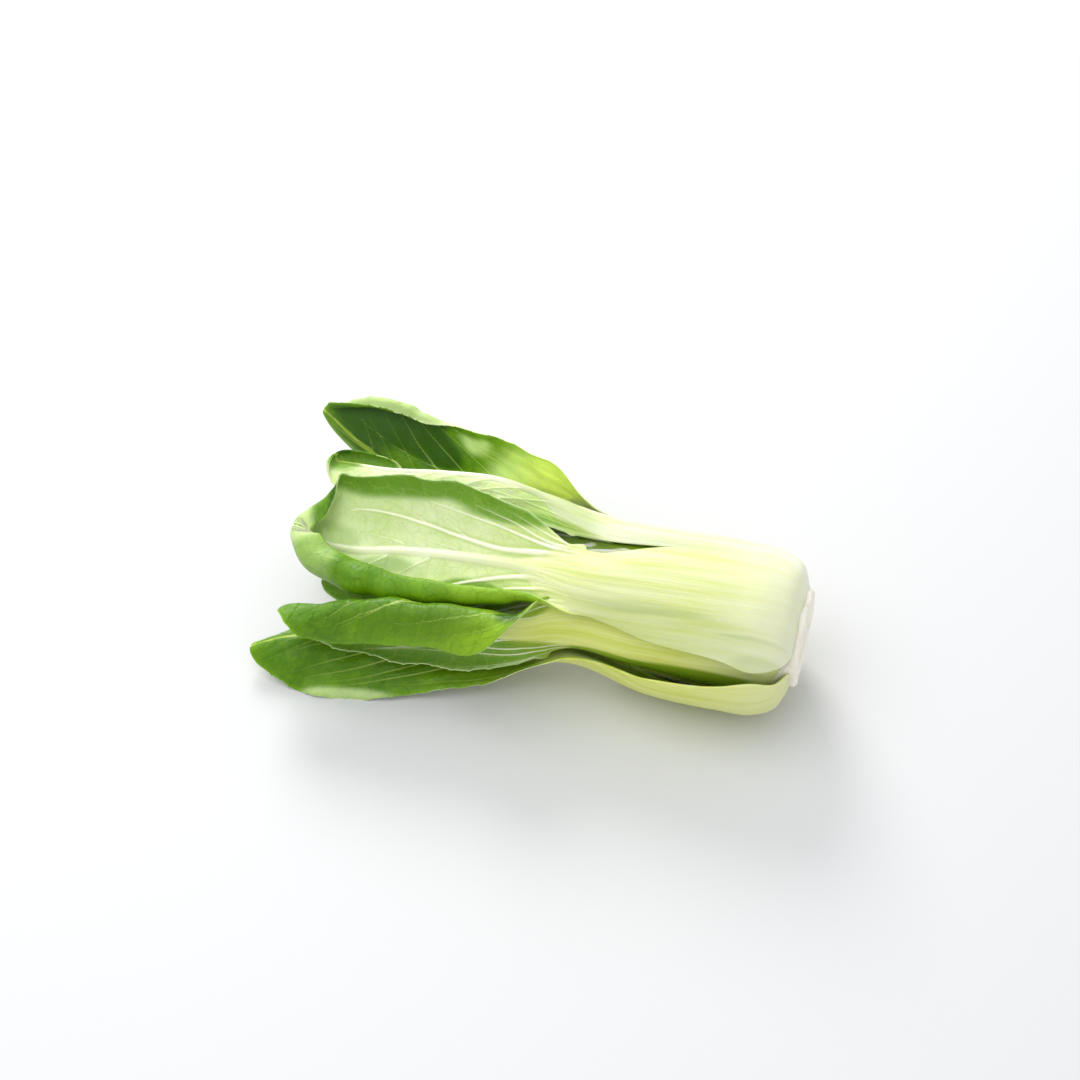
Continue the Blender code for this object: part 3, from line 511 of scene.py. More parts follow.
class Form:
    """A leaf's outer skin, as a section at any distance along its midrib."""

    def __init__(self, leaf):
        reach = leaf.sections[0].at[0] - leaf.start
        base = OUTER_BASE / leaf.radius if leaf.start < OUTER_START else INNER_BASE_SHARE
        stalk = []
        for past, part, of_base, of_full, width, by_waist, turning in STALK_SECTIONS:
            distance = leaf.start + past + part * reach
            narrowing = width + by_waist * leaf.waist
            stalk.append(clasp(leaf, distance, of_base * base + of_full, narrowing, turning))
        sections = stalk + leaf.sections
        self.line = np.array([[-s.at[0], s.at[1], s.at[2]] for s in sections], float)
        spans = np.linalg.norm(np.diff(self.line, axis=0), axis=1)
        self.knots = np.concatenate([[0], np.cumsum(spans)])
        self.faces = np.array([s.face for s in sections], float)
        # Widths are eased as squares, which rounds the tip
        self.squares = np.array([[s.left[0] ** 2, s.right[0] ** 2] for s in sections], float)
        self.turns = np.array([[s.left[1:], s.right[1:]] for s in sections], float)
        self.length = self.knots[-1]
        self.belly = self.knots[2]
        self.neck = self.knots[len(stalk)]
        self.blade_length = self.length - self.neck
        self.neck_widths = np.sqrt(smooth(self.knots, self.squares, self.neck))

    def beyond(self, along):
        """How far past the neck this is, as a share of the blade's length."""
        return (along - self.neck) / self.blade_length

    def half_widths(self, along):
        """The widths of the left and right halves."""
        widths = np.sqrt(np.maximum(smooth(self.knots, self.squares, along), 0))
        if self.neck < along < self.neck + RUN_OUT * self.blade_length:
            least = self.rib_half_width(along, self.neck_widths.mean()) + LEAST_HALF
            past = ramp(self.neck - NECK_EASE, self.neck + NECK_EASE, along)
            widths = np.maximum(widths, least * past)
        return widths

    def rib_half_width(self, along, at_neck):
        """The midrib's half width, which is at_neck at the neck and narrows past it."""
        beyond = self.beyond(along)
        shoulder = (1 - RIB_TIP_WIDTH - RIB_TAPER) * (1 - ramp(0, SHOULDER, beyond))
        return at_neck * (RIB_TIP_WIDTH + RIB_TAPER * (1 - beyond) + shoulder)

    def frame(self, along):
        """The midrib's place, the way out of the head, and the way to the left."""
        place = smooth(self.knots, self.line, along)
        ahead = smooth(self.knots, self.line, min(along + TANGENT_STEP, self.length))
        behind = smooth(self.knots, self.line, max(along - TANGENT_STEP, 0))
        way = ramp(self.belly, self.neck, along)
        tangent = unit((1 - way) * np.array([-1.0, 0, 0]) + way * unit(ahead - behind))
        angle = np.radians(smooth(self.knots, self.faces, along))
        outward = np.array([0, np.cos(angle), np.sin(angle)])
        outward = unit(outward - (outward @ tangent) * tangent)
        return place, outward, np.cross(outward, tangent)

    def skin(self, along, side, distances):
        """The skin's points and normals at distances from the midrib, on side 0, left, or 1."""
        place, outward, left = self.frame(along)
        out = left if side == 0 else -left
        width = max(self.half_widths(along)[side], np.max(distances), 1e-3)
        turns = np.radians(smooth(self.knots, self.turns, along)[side])
        shares = np.linspace(0, 1, SECTION_STEPS + 1)
        angles = smooth(np.linspace(0, 1, len(turns)), turns, shares)
        angles *= ramp(0, ROUNDING, shares * width)  # the midrib is rounded, not creased
        middles = (angles[1:] + angles[:-1]) / 2
        step = width / SECTION_STEPS
        steps = step * (np.outer(np.cos(middles), out) + np.outer(np.sin(middles), outward))
        points = place + np.concatenate([[np.zeros(3)], np.cumsum(steps, axis=0)])
        normals = np.outer(np.cos(angles), outward) - np.outer(np.sin(angles), out)
        wave = np.sin(2 * np.pi * along / WAVE_LENGTH + WAVE_SHIFT * side)
        lift = ramp(self.neck, self.neck + WAVE_START, along) * WAVE * shares**3 * wave
        points += normals * lift[:, None]
        sweep = SWEEP * ramp(self.neck, self.neck + SWEEP_START, along) * width * shares**2
        points += sweep[:, None] * np.cross(left, outward)
        spread = shares * width
        return tuple(
            np.stack([np.interp(distances, spread, rows[:, axis]) for axis in range(3)], axis=-1)
            for rows in (points, normals)
        )


def between(sheet, row, column):
    """The sheet's values between its rows and columns."""
    top = np.clip(row.astype(int), 0, sheet.shape[0] - 2)
    left = np.clip(column.astype(int), 0, sheet.shape[1] - 2)
    down, across = (row - top)[..., None], (column - left)[..., None]
    return (
        sheet[top, left] * (1 - down) * (1 - across) + sheet[top, left + 1] * (1 - down) * across
        + sheet[top + 1, left] * down * (1 - across) + sheet[top + 1, left + 1] * down * across
    )


def evened(values):
    """A run of values evened out, with its ends kept."""
    for _ in range(EVENING_ROUNDS):
        values[1:-1] = (values[:-2] + 2 * values[1:-1] + values[2:]) / 4
    return values


def margin_line(alongs, across):
    """A blade's margin on the flat sheet, from the neck on the left over the tip to the right.

    It gives the line's points, the way out at each, and its place round the line, from 0 to 1.
    """
    edges = [np.stack([alongs, across[:, column]], axis=-1) for column in (0, -1)]
    places = []
    for edge in edges:
        steps = np.linalg.norm(np.diff(edge, axis=0), axis=1)
        places.append(np.concatenate([[0], np.cumsum(steps)]) / steps.sum() / 2)
    line = np.concatenate([edges[0], edges[1][::-1]])
    place = np.concatenate([places[0], 1 - places[1][::-1]])
    last = len(line) - 1
    keep = np.concatenate([[0], np.arange(RIM_STRIDE - 1, last, RIM_STRIDE), [last]])
    line = evened(line[keep])
    way = np.gradient(line, axis=0)
    return line, unit_rows(evened(np.stack([way[:, 1], -way[:, 0]], axis=-1))), place[keep]


def nearest_on(line, spots):
    """How far each spot is from the line, and a reader for values that the line's points have."""
    nearest = np.full(len(spots), np.inf)
    piece, part = np.zeros(len(spots), int), np.zeros(len(spots))
    for k in range(len(line) - 1):
        span = line[k + 1] - line[k]
        t = np.clip((spots - line[k]) @ span / (span @ span), 0, 1)
        gap = np.linalg.norm(spots - line[k] - t[:, None] * span, axis=1)
        closer = gap < nearest
        nearest[closer], piece[closer], part[closer] = gap[closer], k, t[closer]

    def read(values):
        share = part.reshape((-1,) + (1,) * (values.ndim - 1))
        return values[piece] * (1 - share) + values[piece + 1] * share

    return nearest, read


def roll_rim(form, rim, alongs, across, points, normals):
    """Rolls a sheet's margin over, round a line that keeps its distance from the margin."""
    first = np.argmax(alongs >= form.neck - RIM_START)
    line, facing, place = margin_line(alongs[first:], across[first:])
    along, _ = np.broadcast_arrays(alongs[first:, None], across[first:])
    spots = np.stack([along, across[first:]], axis=-1)
    shape = spots.shape[:2]
    spots = spots.reshape(-1, 2)
    nearest, read = nearest_on(line, spots)
    toward = unit_rows(read(facing))
    rim = np.array(rim, float)
    band, radius, turn = (smooth(rim[:, 0], rim[:, k], read(place)) for k in (1, 2, 3))
    over = np.maximum(np.maximum(band, 0) - nearest, 0)
    rows = np.arange(len(alongs))
    middle = (across.shape[1] - 1) // 2

    def found(sheet, where):
        """The sheet's values at these places on the flat sheet."""
        row = np.interp(where[:, 0], alongs, rows)
        low = np.interp(row, rows, -across[:, 0])
        high = np.interp(row, rows, across[:, -1])
        share = where[:, 1] / np.where(where[:, 1] < 0, low, high)
        return between(sheet, row, middle * (1 + np.clip(share, -1, 1)))

    fold = spots - toward * over[:, None]
    start = found(points, fold)
    normal = unit_rows(found(normals, fold))
    out = start - found(points, fold - toward * ROLL_STEP)
    out -= (out * normal).sum(axis=1)[:, None] * normal
    out /= np.maximum(np.linalg.norm(out, axis=1), 1e-6)[:, None]
    sign = np.sign(turn)
    most = np.radians(np.abs(turn))
    angle = np.minimum(over / radius, most)
    straight = np.maximum(over - radius * most, 0)
    sine, cosine = np.sin(angle), np.cos(angle)
    rolled = (
        start
        + out * (radius * sine + straight * cosine)[:, None]
        + normal * (sign * (radius * (1 - cosine) + straight * sine))[:, None]
    )
    rolled_normal = normal * cosine[:, None] - out * (sign * sine)[:, None]
    moved = (over > 0)[:, None]
    points, normals = points.copy(), normals.copy()
    for sheet, new in ((points, rolled), (normals, rolled_normal)):
        sheet[first:] = np.where(moved, new, sheet[first:].reshape(-1, 3)).reshape(*shape, 3)
    return points, normals


def usual_veins(seed, strength):
    """The side veins of a leaf, left and right, which stand by turns."""
    draw = np.random.default_rng(seed)
    halves = []
    for side in (0, 1):
        half = []
        for vein in USUAL_VEINS:
            start = vein.start + VEIN_STAGGER * side * (vein.start > 0)
            start = start + draw.uniform(-START_SPREAD, START_SPREAD)
            reach = min(vein.reach * draw.uniform(*REACH_SPREAD), LAST_END - start)
            own = vein.strength * strength * draw.uniform(*STRENGTH_SPREAD)
            half.append(vein._replace(start=start, reach=reach, strength=own))
        halves.append(half)
    return halves


def vein_run(vein, form, alongs, widths, at_neck):
    """How far along itself a vein is at each row, and its distance from the midrib there."""
    if isinstance(vein, Drawn):
        places = np.array(vein.places, float)
        first, last = places[0, 0], places[-1, 0]
        run = smooth(places[:, 0], places[:, 1], np.clip(alongs, first, last))
        return (alongs - first) / (last - first), run
    start = form.neck + vein.start * form.blade_length
    length = vein.reach * form.blade_length
    t = (alongs - start) / length
    part = np.clip(t, 0, 1)
    shape = (1 - vein.fan) * (1 - (1 - part) ** VEIN_BEND) + vein.fan * ramp(0, 1, part)
    out = vein.out * at_neck
    goal = vein.end * np.interp(min(start + length, form.length), alongs, widths)
    return t, out + (max(goal, out + 1) - out) * shape


def vein_field(form, veins, alongs, across, widths, at_neck):
    """How strongly a vein, and the dip beside it, shows at each place of a half blade.

    The last of the three fields that it gives is the distance from the nearest vein.
    """
    show = np.zeros_like(across)
    dip = np.zeros_like(across)
    near = np.full_like(across, FAR)
    for vein in veins:
        t, run = vein_run(vein, form, alongs, widths, at_neck)
        run = np.minimum(run, VEIN_LIMIT * widths)
        slope = np.gradient(run, alongs)
        gap = np.abs(across - run[:, None]) / np.sqrt(1 + slope**2)[:, None]
        gap[(t < 0) | (t > 1)] = FAR
        strength = vein.strength * (1 - VEIN_WEAKENING * np.clip(t, 0, 1))
        strength = strength * ramp(*VEIN_IN, t) * (1 - ramp(*VEIN_OUT, t))
        width = (VEIN_WIDTH * (VEIN_LEAST + strength**2))[:, None]
        show = np.maximum(show, strength[:, None] * np.exp(-((gap / width) ** 2)))
        past = (gap - DIP_PLACE * width) / width
        dip = np.maximum(dip, strength[:, None] * np.exp(-(past**2)))
        faint = 1 - np.minimum(1, strength / FAINT)
        near = np.minimum(near, gap + FAINT_GAP * faint[:, None])
    return show, dip, near


def light_and_shade_field(name, along, across):
    """How much painted shade a blade has at each place, with painted light below 0."""
    light_and_shade = np.zeros_like(along)
    for middle, out, length, width, strength in LIGHT_AND_SHADE_PATCHES.get(name, []):
        off = np.hypot((along - middle) / length, (across - out) / width)
        light_and_shade += strength * (1 - ramp(*PATCH_FADE, off))
    return np.clip(light_and_shade, -1, 1)


def deselect():
    if bpy.context.object and bpy.context.object.mode != "OBJECT":
        bpy.ops.object.mode_set(mode="OBJECT")
    bpy.ops.object.select_all(action="DESELECT")


def grid_piece(name, places, flat):
    """A sheet of quads through these rows of places, in mm from the head, with flat as its UVs."""
    rows, columns = places.shape[:2]
    deselect()
    bpy.ops.mesh.primitive_grid_add(x_subdivisions=columns - 1, y_subdivisions=rows - 1, size=1)
    piece = bpy.context.object
    piece.name = piece.data.name = name
    put(piece, places.reshape(-1, 3) * MM + HEAD * MM)
    corners = np.empty(len(piece.data.loops), int)
    piece.data.loops.foreach_get("vertex_index", corners)
    piece.data.uv_layers.active.data.foreach_set("uv", flat.reshape(-1, 2)[corners].ravel())
    return piece


def put(piece, places):
    """Moves the piece's vertices to these places, in metres."""
    piece.data.vertices.foreach_set("co", np.ascontiguousarray(places, np.float32).ravel())
    piece.data.update()


def places_of(piece):
    places = np.empty(len(piece.data.vertices) * 3, np.float32)
    piece.data.vertices.foreach_get("co", places)
    return places.reshape(-1, 3).astype(float)


def note(piece, name, values):
    """Gives the piece a value at each vertex, which its material reads by this name."""
    attribute = piece.data.attributes.new(name, "FLOAT", "POINT")
    attribute.data.foreach_set("value", np.ascontiguousarray(values, np.float32).ravel())


def thicken(piece, thickness):
    """Gives a sheet a wall inwards of this thickness at each vertex, in mm."""
    most = float(thickness.max())
    group = piece.vertex_groups.new(name="wall")
    for index, value in enumerate(thickness.ravel() / most):
        group.add([index], float(value), "REPLACE")
    wall = piece.modifiers.new("wall", "SOLIDIFY")
    wall.thickness = most * MM
    wall.offset = -1
    wall.vertex_group = "wall"
    wall.material_offset = 1
    wall.material_offset_rim = 0
    bpy.context.view_layer.objects.active = piece
    bpy.ops.object.modifier_apply(modifier="wall")
    piece.vertex_groups.clear()


def finish_mesh(piece):
    """Merges points that meet, shades the piece smooth and sends it with the body."""
    deselect()
    piece.select_set(True)
    bpy.context.view_layer.objects.active = piece
    bpy.ops.object.mode_set(mode="EDIT")
    bpy.ops.mesh.select_all(action="SELECT")
    bpy.ops.mesh.remove_doubles(threshold=MERGE * MM)
    bpy.ops.object.mode_set(mode="OBJECT")
    piece.data.shade_smooth()
    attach(piece, "root")


def leaf_rows(form, pitch):
    """How far along the midrib each row of a leaf's mesh is."""
    stalk = np.linspace(0, form.neck, int(form.neck / (STALK_PITCH * pitch)), endpoint=False)
    t = np.linspace(0, 1, int(form.blade_length / pitch))
    return np.concatenate([stalk, form.neck + form.blade_length * (1 - (1 - t) ** ROW_SPREAD)])


def cut_widths(form, finish, alongs, side):
    """The widths of one half, with teeth on its margin."""
    widths = np.array([form.half_widths(along)[side] for along in alongs])
    beyond = form.beyond(alongs)
    shift = TOOTH_SHIFT * ripple(alongs, side, TOOTH_SHIFT_LENGTH, finish.seed)
    notches = np.sin(2 * np.pi * (alongs / TOOTH_LENGTH + shift))
    cut = finish.teeth * np.maximum(0, notches) ** TOOTH_SHARPNESS
    cut = cut + BUMP_HEIGHT * ripple(alongs, 9 * side, BUMP_LENGTH, finish.seed)
    cut = cut * ramp(*TEETH_IN, beyond) * (1 - ramp(*TEETH_OUT, beyond))
    return np.maximum(widths + cut, LEAST_WIDTH)


def half_leaf(leaf, form, finish, veins, alongs, side):
    """One half of a leaf: its skin, its wall and relief, and what its paint reads."""
    widths = cut_widths(form, finish, alongs, side)
    across = widths[:, None] * np.linspace(0, 1, finish.columns + 1)
    to_margin = widths[:, None] - across
    skin = [form.skin(along, side, row) for along, row in zip(alongs, across)]
    points, normals = (np.array(rows) for rows in zip(*skin))

    # The midrib, which is the whole stalk up to the neck
    beyond = form.beyond(alongs)
    at_neck = form.neck_widths[side]
    rib = np.array([form.rib_half_width(along, at_neck) for along in alongs])
    rib = np.where(alongs > form.neck, rib, widths)[:, None]
    rib_share = across / rib
    bulge = np.maximum(0, 1 - rib_share**2) ** CROWN
    slim = ramp(0, RUN_OUT, beyond)[:, None]
    rising = ramp(form.belly, form.neck, alongs)[:, None]
    taper = (1 - RIB_THINNING * np.clip(beyond, 0, 1))[:, None]

    # The wall
    middle = leaf.thickness * (1 - NECK_THINNING * rising) * (1 - slim)
    middle = middle + RIB_THICKNESS * taper * slim
    middle = np.minimum(middle, BASE_THICKNESS + THICKENING * alongs[:, None])
    foot = 1 - ramp(*RIB_FOOT, rib_share)
    edge = BLADE_THICKNESS + (STALK_EDGE - BLADE_THICKNESS) * (1 - slim) * foot
    thickness = edge + (middle - edge) * bulge
    thickness *= 1 - EDGE_THINNING * ramp(-EDGE_WIDTH, 0, -to_margin)

    # The relief
    show, dip, near = vein_field(form, veins, alongs, across, widths, at_neck)
    lamina = ramp(*LAMINA_ACROSS, rib_share) * ramp(*LAMINA_ALONG, beyond)[:, None]
    calm = ramp(0, CALM, to_margin)
    pucker = PUCKER * (1 - np.exp(-((near / PUCKER_WIDTH) ** 2))) * lamina * calm
    crinkle = finish.crinkle * ripple(alongs[:, None], across, CRINKLE_LENGTH, finish.seed + 60)
    crinkle = crinkle * lamina * ramp(0, CRINKLE_START, across)
    crinkle = crinkle * (CRINKLE_AT_MARGIN + (1 - CRINKLE_AT_MARGIN) * calm)
    ridges = ripple(rib_share * RIDGE_SPAN, 5 * side, RIDGE_WIDTH, finish.seed + 40)
    ridges = ridges * np.minimum(1, rib / RIDGED_RIB)
    ridged = ramp(*RIDGED, alongs / form.neck)[:, None] * (1 - RIDGE_FADE * lamina)
    vein = VEIN_HEIGHT * (show - DIP_DEPTH * dip) * ramp(*VEIN_ACROSS, rib_share)
    return {
        "points": points, "normals": normals, "thickness": thickness, "both": crinkle - pucker,
        "outer": RIB_RISE * rising * taper * bulge + vein + RIDGE_HEIGHT * ridges * ridged,
        "inner": VEIN_HEIGHT_INSIDE * show * lamina, "vein": show, "dip": dip, "green": lamina,
        "margin": 1 - ramp(0, MARGIN_WIDTH, to_margin), "across": across * (-1, 1)[side],
        "along": alongs[:, None] * np.ones_like(across),
    }


def leaf_piece(name, leaf, finish, materials):
    """A leaf from its base to its tip, with relief on both of its faces."""
    form = Form(leaf)
    alongs = leaf_rows(form, finish.pitch)
    veins = usual_veins(finish.seed, finish.veins) if finish.veins else LEAF_1_VEINS
    left, right = (half_leaf(leaf, form, finish, veins[side], alongs, side) for side in (0, 1))
    sheet = {key: np.concatenate([left[key][:, :0:-1], right[key]], axis=1) for key in left}
    along, across, points, normals = (
        sheet[key] for key in ("along", "across", "points", "normals")
    )
    if name in RIMS:
        points, normals = roll_rim(form, RIMS[name], alongs, across, points, normals)
    places = points + normals * sheet["both"][..., None]
    places[..., 2] = np.maximum(places[..., 2], -TABLE_DEPTH)
    flat = np.stack([across / FLAT_WIDTH + 0.5, along / FLAT_LENGTH], axis=-1)
    piece = grid_piece(name, places, flat)
    for key in ("vein", "dip", "green", "margin"):
        note(piece, key, sheet[key])
    note(piece, "base", 1 - ramp(*BASE_FADE, along))
    note(piece, "young", 1 - ramp(0, YOUNG, form.beyond(along)))
    note(piece, "yellow", np.full(along.shape, finish.yellow))
    for material in materials:
        piece.data.materials.append(material)
    thicken(piece, sheet["thickness"])

    # The sheet's vertices come first, as the outer face, and the wall's inner face follows
    # The painted shade and painted light of the patches, weaker on the outer faces of some leaves
    light_and_shade = light_and_shade_field(name, along, across).ravel()
    note(piece, "light_and_shade", np.concatenate([light_and_shade * OUTSIDE_SHARE.get(name, 1), light_and_shade]))
    places = places_of(piece)
    normals = normals.reshape(-1, 3)
    places[:light_and_shade.size] += normals * sheet["outer"].reshape(-1, 1) * MM
    places[light_and_shade.size:] += normals * sheet["inner"].reshape(-1, 1) * MM
    places[:, 2] = np.maximum(places[:, 2], 0)
    put(piece, places)
    finish_mesh(piece)
    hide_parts(name + "_stalk", name + "_blade")


def bumps(rows, x, y, level):
    """Hills of several sizes over this level, with a row of height, length and seed for each."""
    return sum((height * ripple(x, y, length, seed) for height, length, seed in rows), level)


def butt_piece(material):
    """The cut stem, a rough disc with an uneven rim, and the cone that the stalks stand round."""
    profile = np.array(BUTT_PROFILE)
    steps = np.concatenate([[0], np.cumsum(np.linalg.norm(np.diff(profile, axis=0), axis=1))])
    way = np.linspace(0, steps[-1], BUTT_ROWS)
    radius, depth = (np.interp(way, steps, profile[:, axis]) for axis in (0, 1))
    turn = np.linspace(0, 2 * np.pi, BUTT_COLUMNS + 1)
    y, z = np.cos(turn), np.sin(turn)
    rim = bumps(RIM_BUMPS, y * BUTT_RADIUS, z * BUTT_RADIUS, 1)
    stub = np.exp(-(((turn - STUB_ANGLE) / STUB_SPREAD) ** 2)) * ramp(*STUB_RADII, radius)[:, None]
    radius = radius[:, None] * rim + STUB_RISE * stub * ramp(*STUB_DEPTHS, depth)[:, None]
    depth = depth[:, None] * (1 + STUB_SLANT * stub)
    places = np.stack([-depth, radius * y, radius * z], axis=-1)
    rough = bumps(FACE_BUMPS, places[..., 1], places[..., 2], 0)
    places[..., 0] += rough * (1 - ramp(0, FACE_DEPTH, depth)) - FACE_INSET
    places[..., 0] = np.minimum(places[..., 0], 0)
    flat = np.broadcast_arrays(turn / BUTT_FLAT[0], way[:, None] / BUTT_FLAT[1])
    piece = grid_piece("cut_stem", places[:, ::-1], np.stack(flat, axis=-1))
    piece.data.materials.append(material)
    finish_mesh(piece)
    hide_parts("butt")


class Value:
    """A number that varies over a surface, and adds Math nodes when it is reckoned with."""

    def __init__(self, paint, socket):
        self.paint, self.socket = paint, socket

    def reckon(self, operation, first, second):
        return self.paint.node("ShaderNodeMath", {"operation": operation}, {0: first, 1: second})

    def __add__(self, other):
        return self.reckon("ADD", self, other)

    def __sub__(self, other):
        return self.reckon("SUBTRACT", self, other)

    def __rsub__(self, other):
        return self.reckon("SUBTRACT", other, self)

    def __mul__(self, other):
        return self.reckon("MULTIPLY", self, other)

    def __pow__(self, other):
        return self.reckon("POWER", self, other)

    __radd__, __rmul__ = __add__, __mul__


class Paint:
    """A material's nodes."""

    def __init__(self, name):
        self.material = bpy.data.materials.new(name)
        self.material.use_nodes = True
        self.tree = self.material.node_tree
        self.shader = self.tree.nodes["Principled BSDF"]

    def node(self, kind, settings, inputs, output=0):
        """Adds a node with these settings, and these values or links on its sockets."""
        node = self.tree.nodes.new(kind)
        for key, value in settings.items():
            setattr(node, key, value)
        for key, value in inputs.items():
            self.feed(node.inputs[key], value)
        return Value(self, node.outputs[output])

    def feed(self, socket, value):
        if isinstance(value, Value):
            self.tree.links.new(value.socket, socket)
        else:
            socket.default_value = value

    def set(self, **inputs):
        """Sets the shader's own sockets."""
        for key, value in inputs.items():
            self.feed(self.shader.inputs[key.replace("_", " ")], value)

    def where(self, output):
        return self.node("ShaderNodeTexCoord", {}, {}, output)

    def read(self, name):
        """A value that the piece's vertices carry."""
        return self.node("ShaderNodeAttribute", {"attribute_name": name}, {}, "Fac")

    def span(self, value, low, high):
        """0 below low, 1 above high, and smooth between."""
        return self.node(
            "ShaderNodeMapRange", {"interpolation_type": "SMOOTHSTEP"}, {0: value, 1: low, 2: high}
        )

    def mix(self, share, first, second):
        """A colour between two."""
        return self.node("ShaderNodeMix", {"data_type": "RGBA"}, {0: share, 6: first, 7: second}, 2)

    def noise(self, where, scale, detail=2.0, roughness=0.5):
        return self.node("ShaderNodeTexNoise", {}, {
            "Vector": where, "Scale": scale, "Detail": detail, "Roughness": roughness,
        })

    def net(self, where, scale, line):
        """1 on the lines between cells, 0 inside them, and line is how wide the lines are."""
        edge = self.node(
            "ShaderNodeTexVoronoi", {"feature": "DISTANCE_TO_EDGE"},
            {"Vector": where, "Scale": scale},
        )
        return 1.0 - self.span(edge, 0.0, line)

    def stretch(self, where, x, y):
        return self.node(
            "ShaderNodeVectorMath", {"operation": "MULTIPLY"}, {0: where, 1: (x, y, 1.0)}
        )

    def bump(self, height, strength, distance):
        return self.node(
            "ShaderNodeBump", {}, {"Height": height, "Strength": strength, "Distance": distance}
        )


def shade(red, green, blue):
    """A colour from its parts of 255 as seen on a screen."""
    parts = np.array([red, green, blue]) / 255
    light = np.where(parts <= 0.04045, parts / 12.92, ((parts + 0.055) / 1.055) ** 2.4)
    return (*(float(part) for part in light), 1.0)


# The stalks' colours. Of a pair, the first is for a cream stalk and the second for a yellow one.
# The cream is partly a painted highlight on the upper stalks, and the yellow partly painted shade
# on the lower and inner ones.
STALK_PALE = shade(224, 228, 205), shade(222, 228, 132)
STALK_DEEP = shade(214, 222, 168), shade(208, 216, 92)
STALK_STREAK = shade(238, 242, 190)
STALK_BASE = shade(233, 234, 210)
# The inner faces' stalk green, partly painted shade: the green of light let through into gaps
STALK_INSIDE_SHADE_GREEN = shade(150, 178, 24)
# Painted shade on the stalks: the dark green of shaded gaps and hollows and under the stalks
STALK_PAINTED_SHADE = shade(126, 160, 0)

# The paint of a leaf's outer or inner face. Its colours are the blade's own, lighter and darker
# ones, of which the lighter also paints a highlight along the margin and the darker the shade in
# the dips beside the veins, the young blade's at the neck, the dark green of painted shade, the
# pale green of painted light let through the leaf near the neck and a painted sheen past it, and
# those of the veins and of the net of fine veins. Then how strongly both show, the shader's
# specular level, and how far the stalk takes the colour of its inner side, a green that is partly
# painted shade.
Skin = namedtuple(
    "Skin", "blade light dark young deep pale milky vein net vein_share net_share shine inner"
)
OUTSIDE = Skin(
    shade(216, 230, 176), shade(230, 240, 200), shade(186, 209, 114), shade(210, 228, 132),
    shade(102, 154, 0), shade(222, 237, 176), shade(232, 243, 200), shade(250, 252, 226),
    shade(176, 202, 98), vein_share=1.0, net_share=0.3, shine=0.18, inner=0.0,
)
INSIDE = Skin(
    shade(96, 146, 4), shade(132, 178, 22), shade(66, 112, 0), shade(164, 200, 40),
    shade(42, 86, 0), shade(238, 250, 120), shade(206, 226, 156), shade(206, 224, 116),
    shade(56, 98, 0), vein_share=0.85, net_share=0.25, shine=0.22, inner=0.5,
)


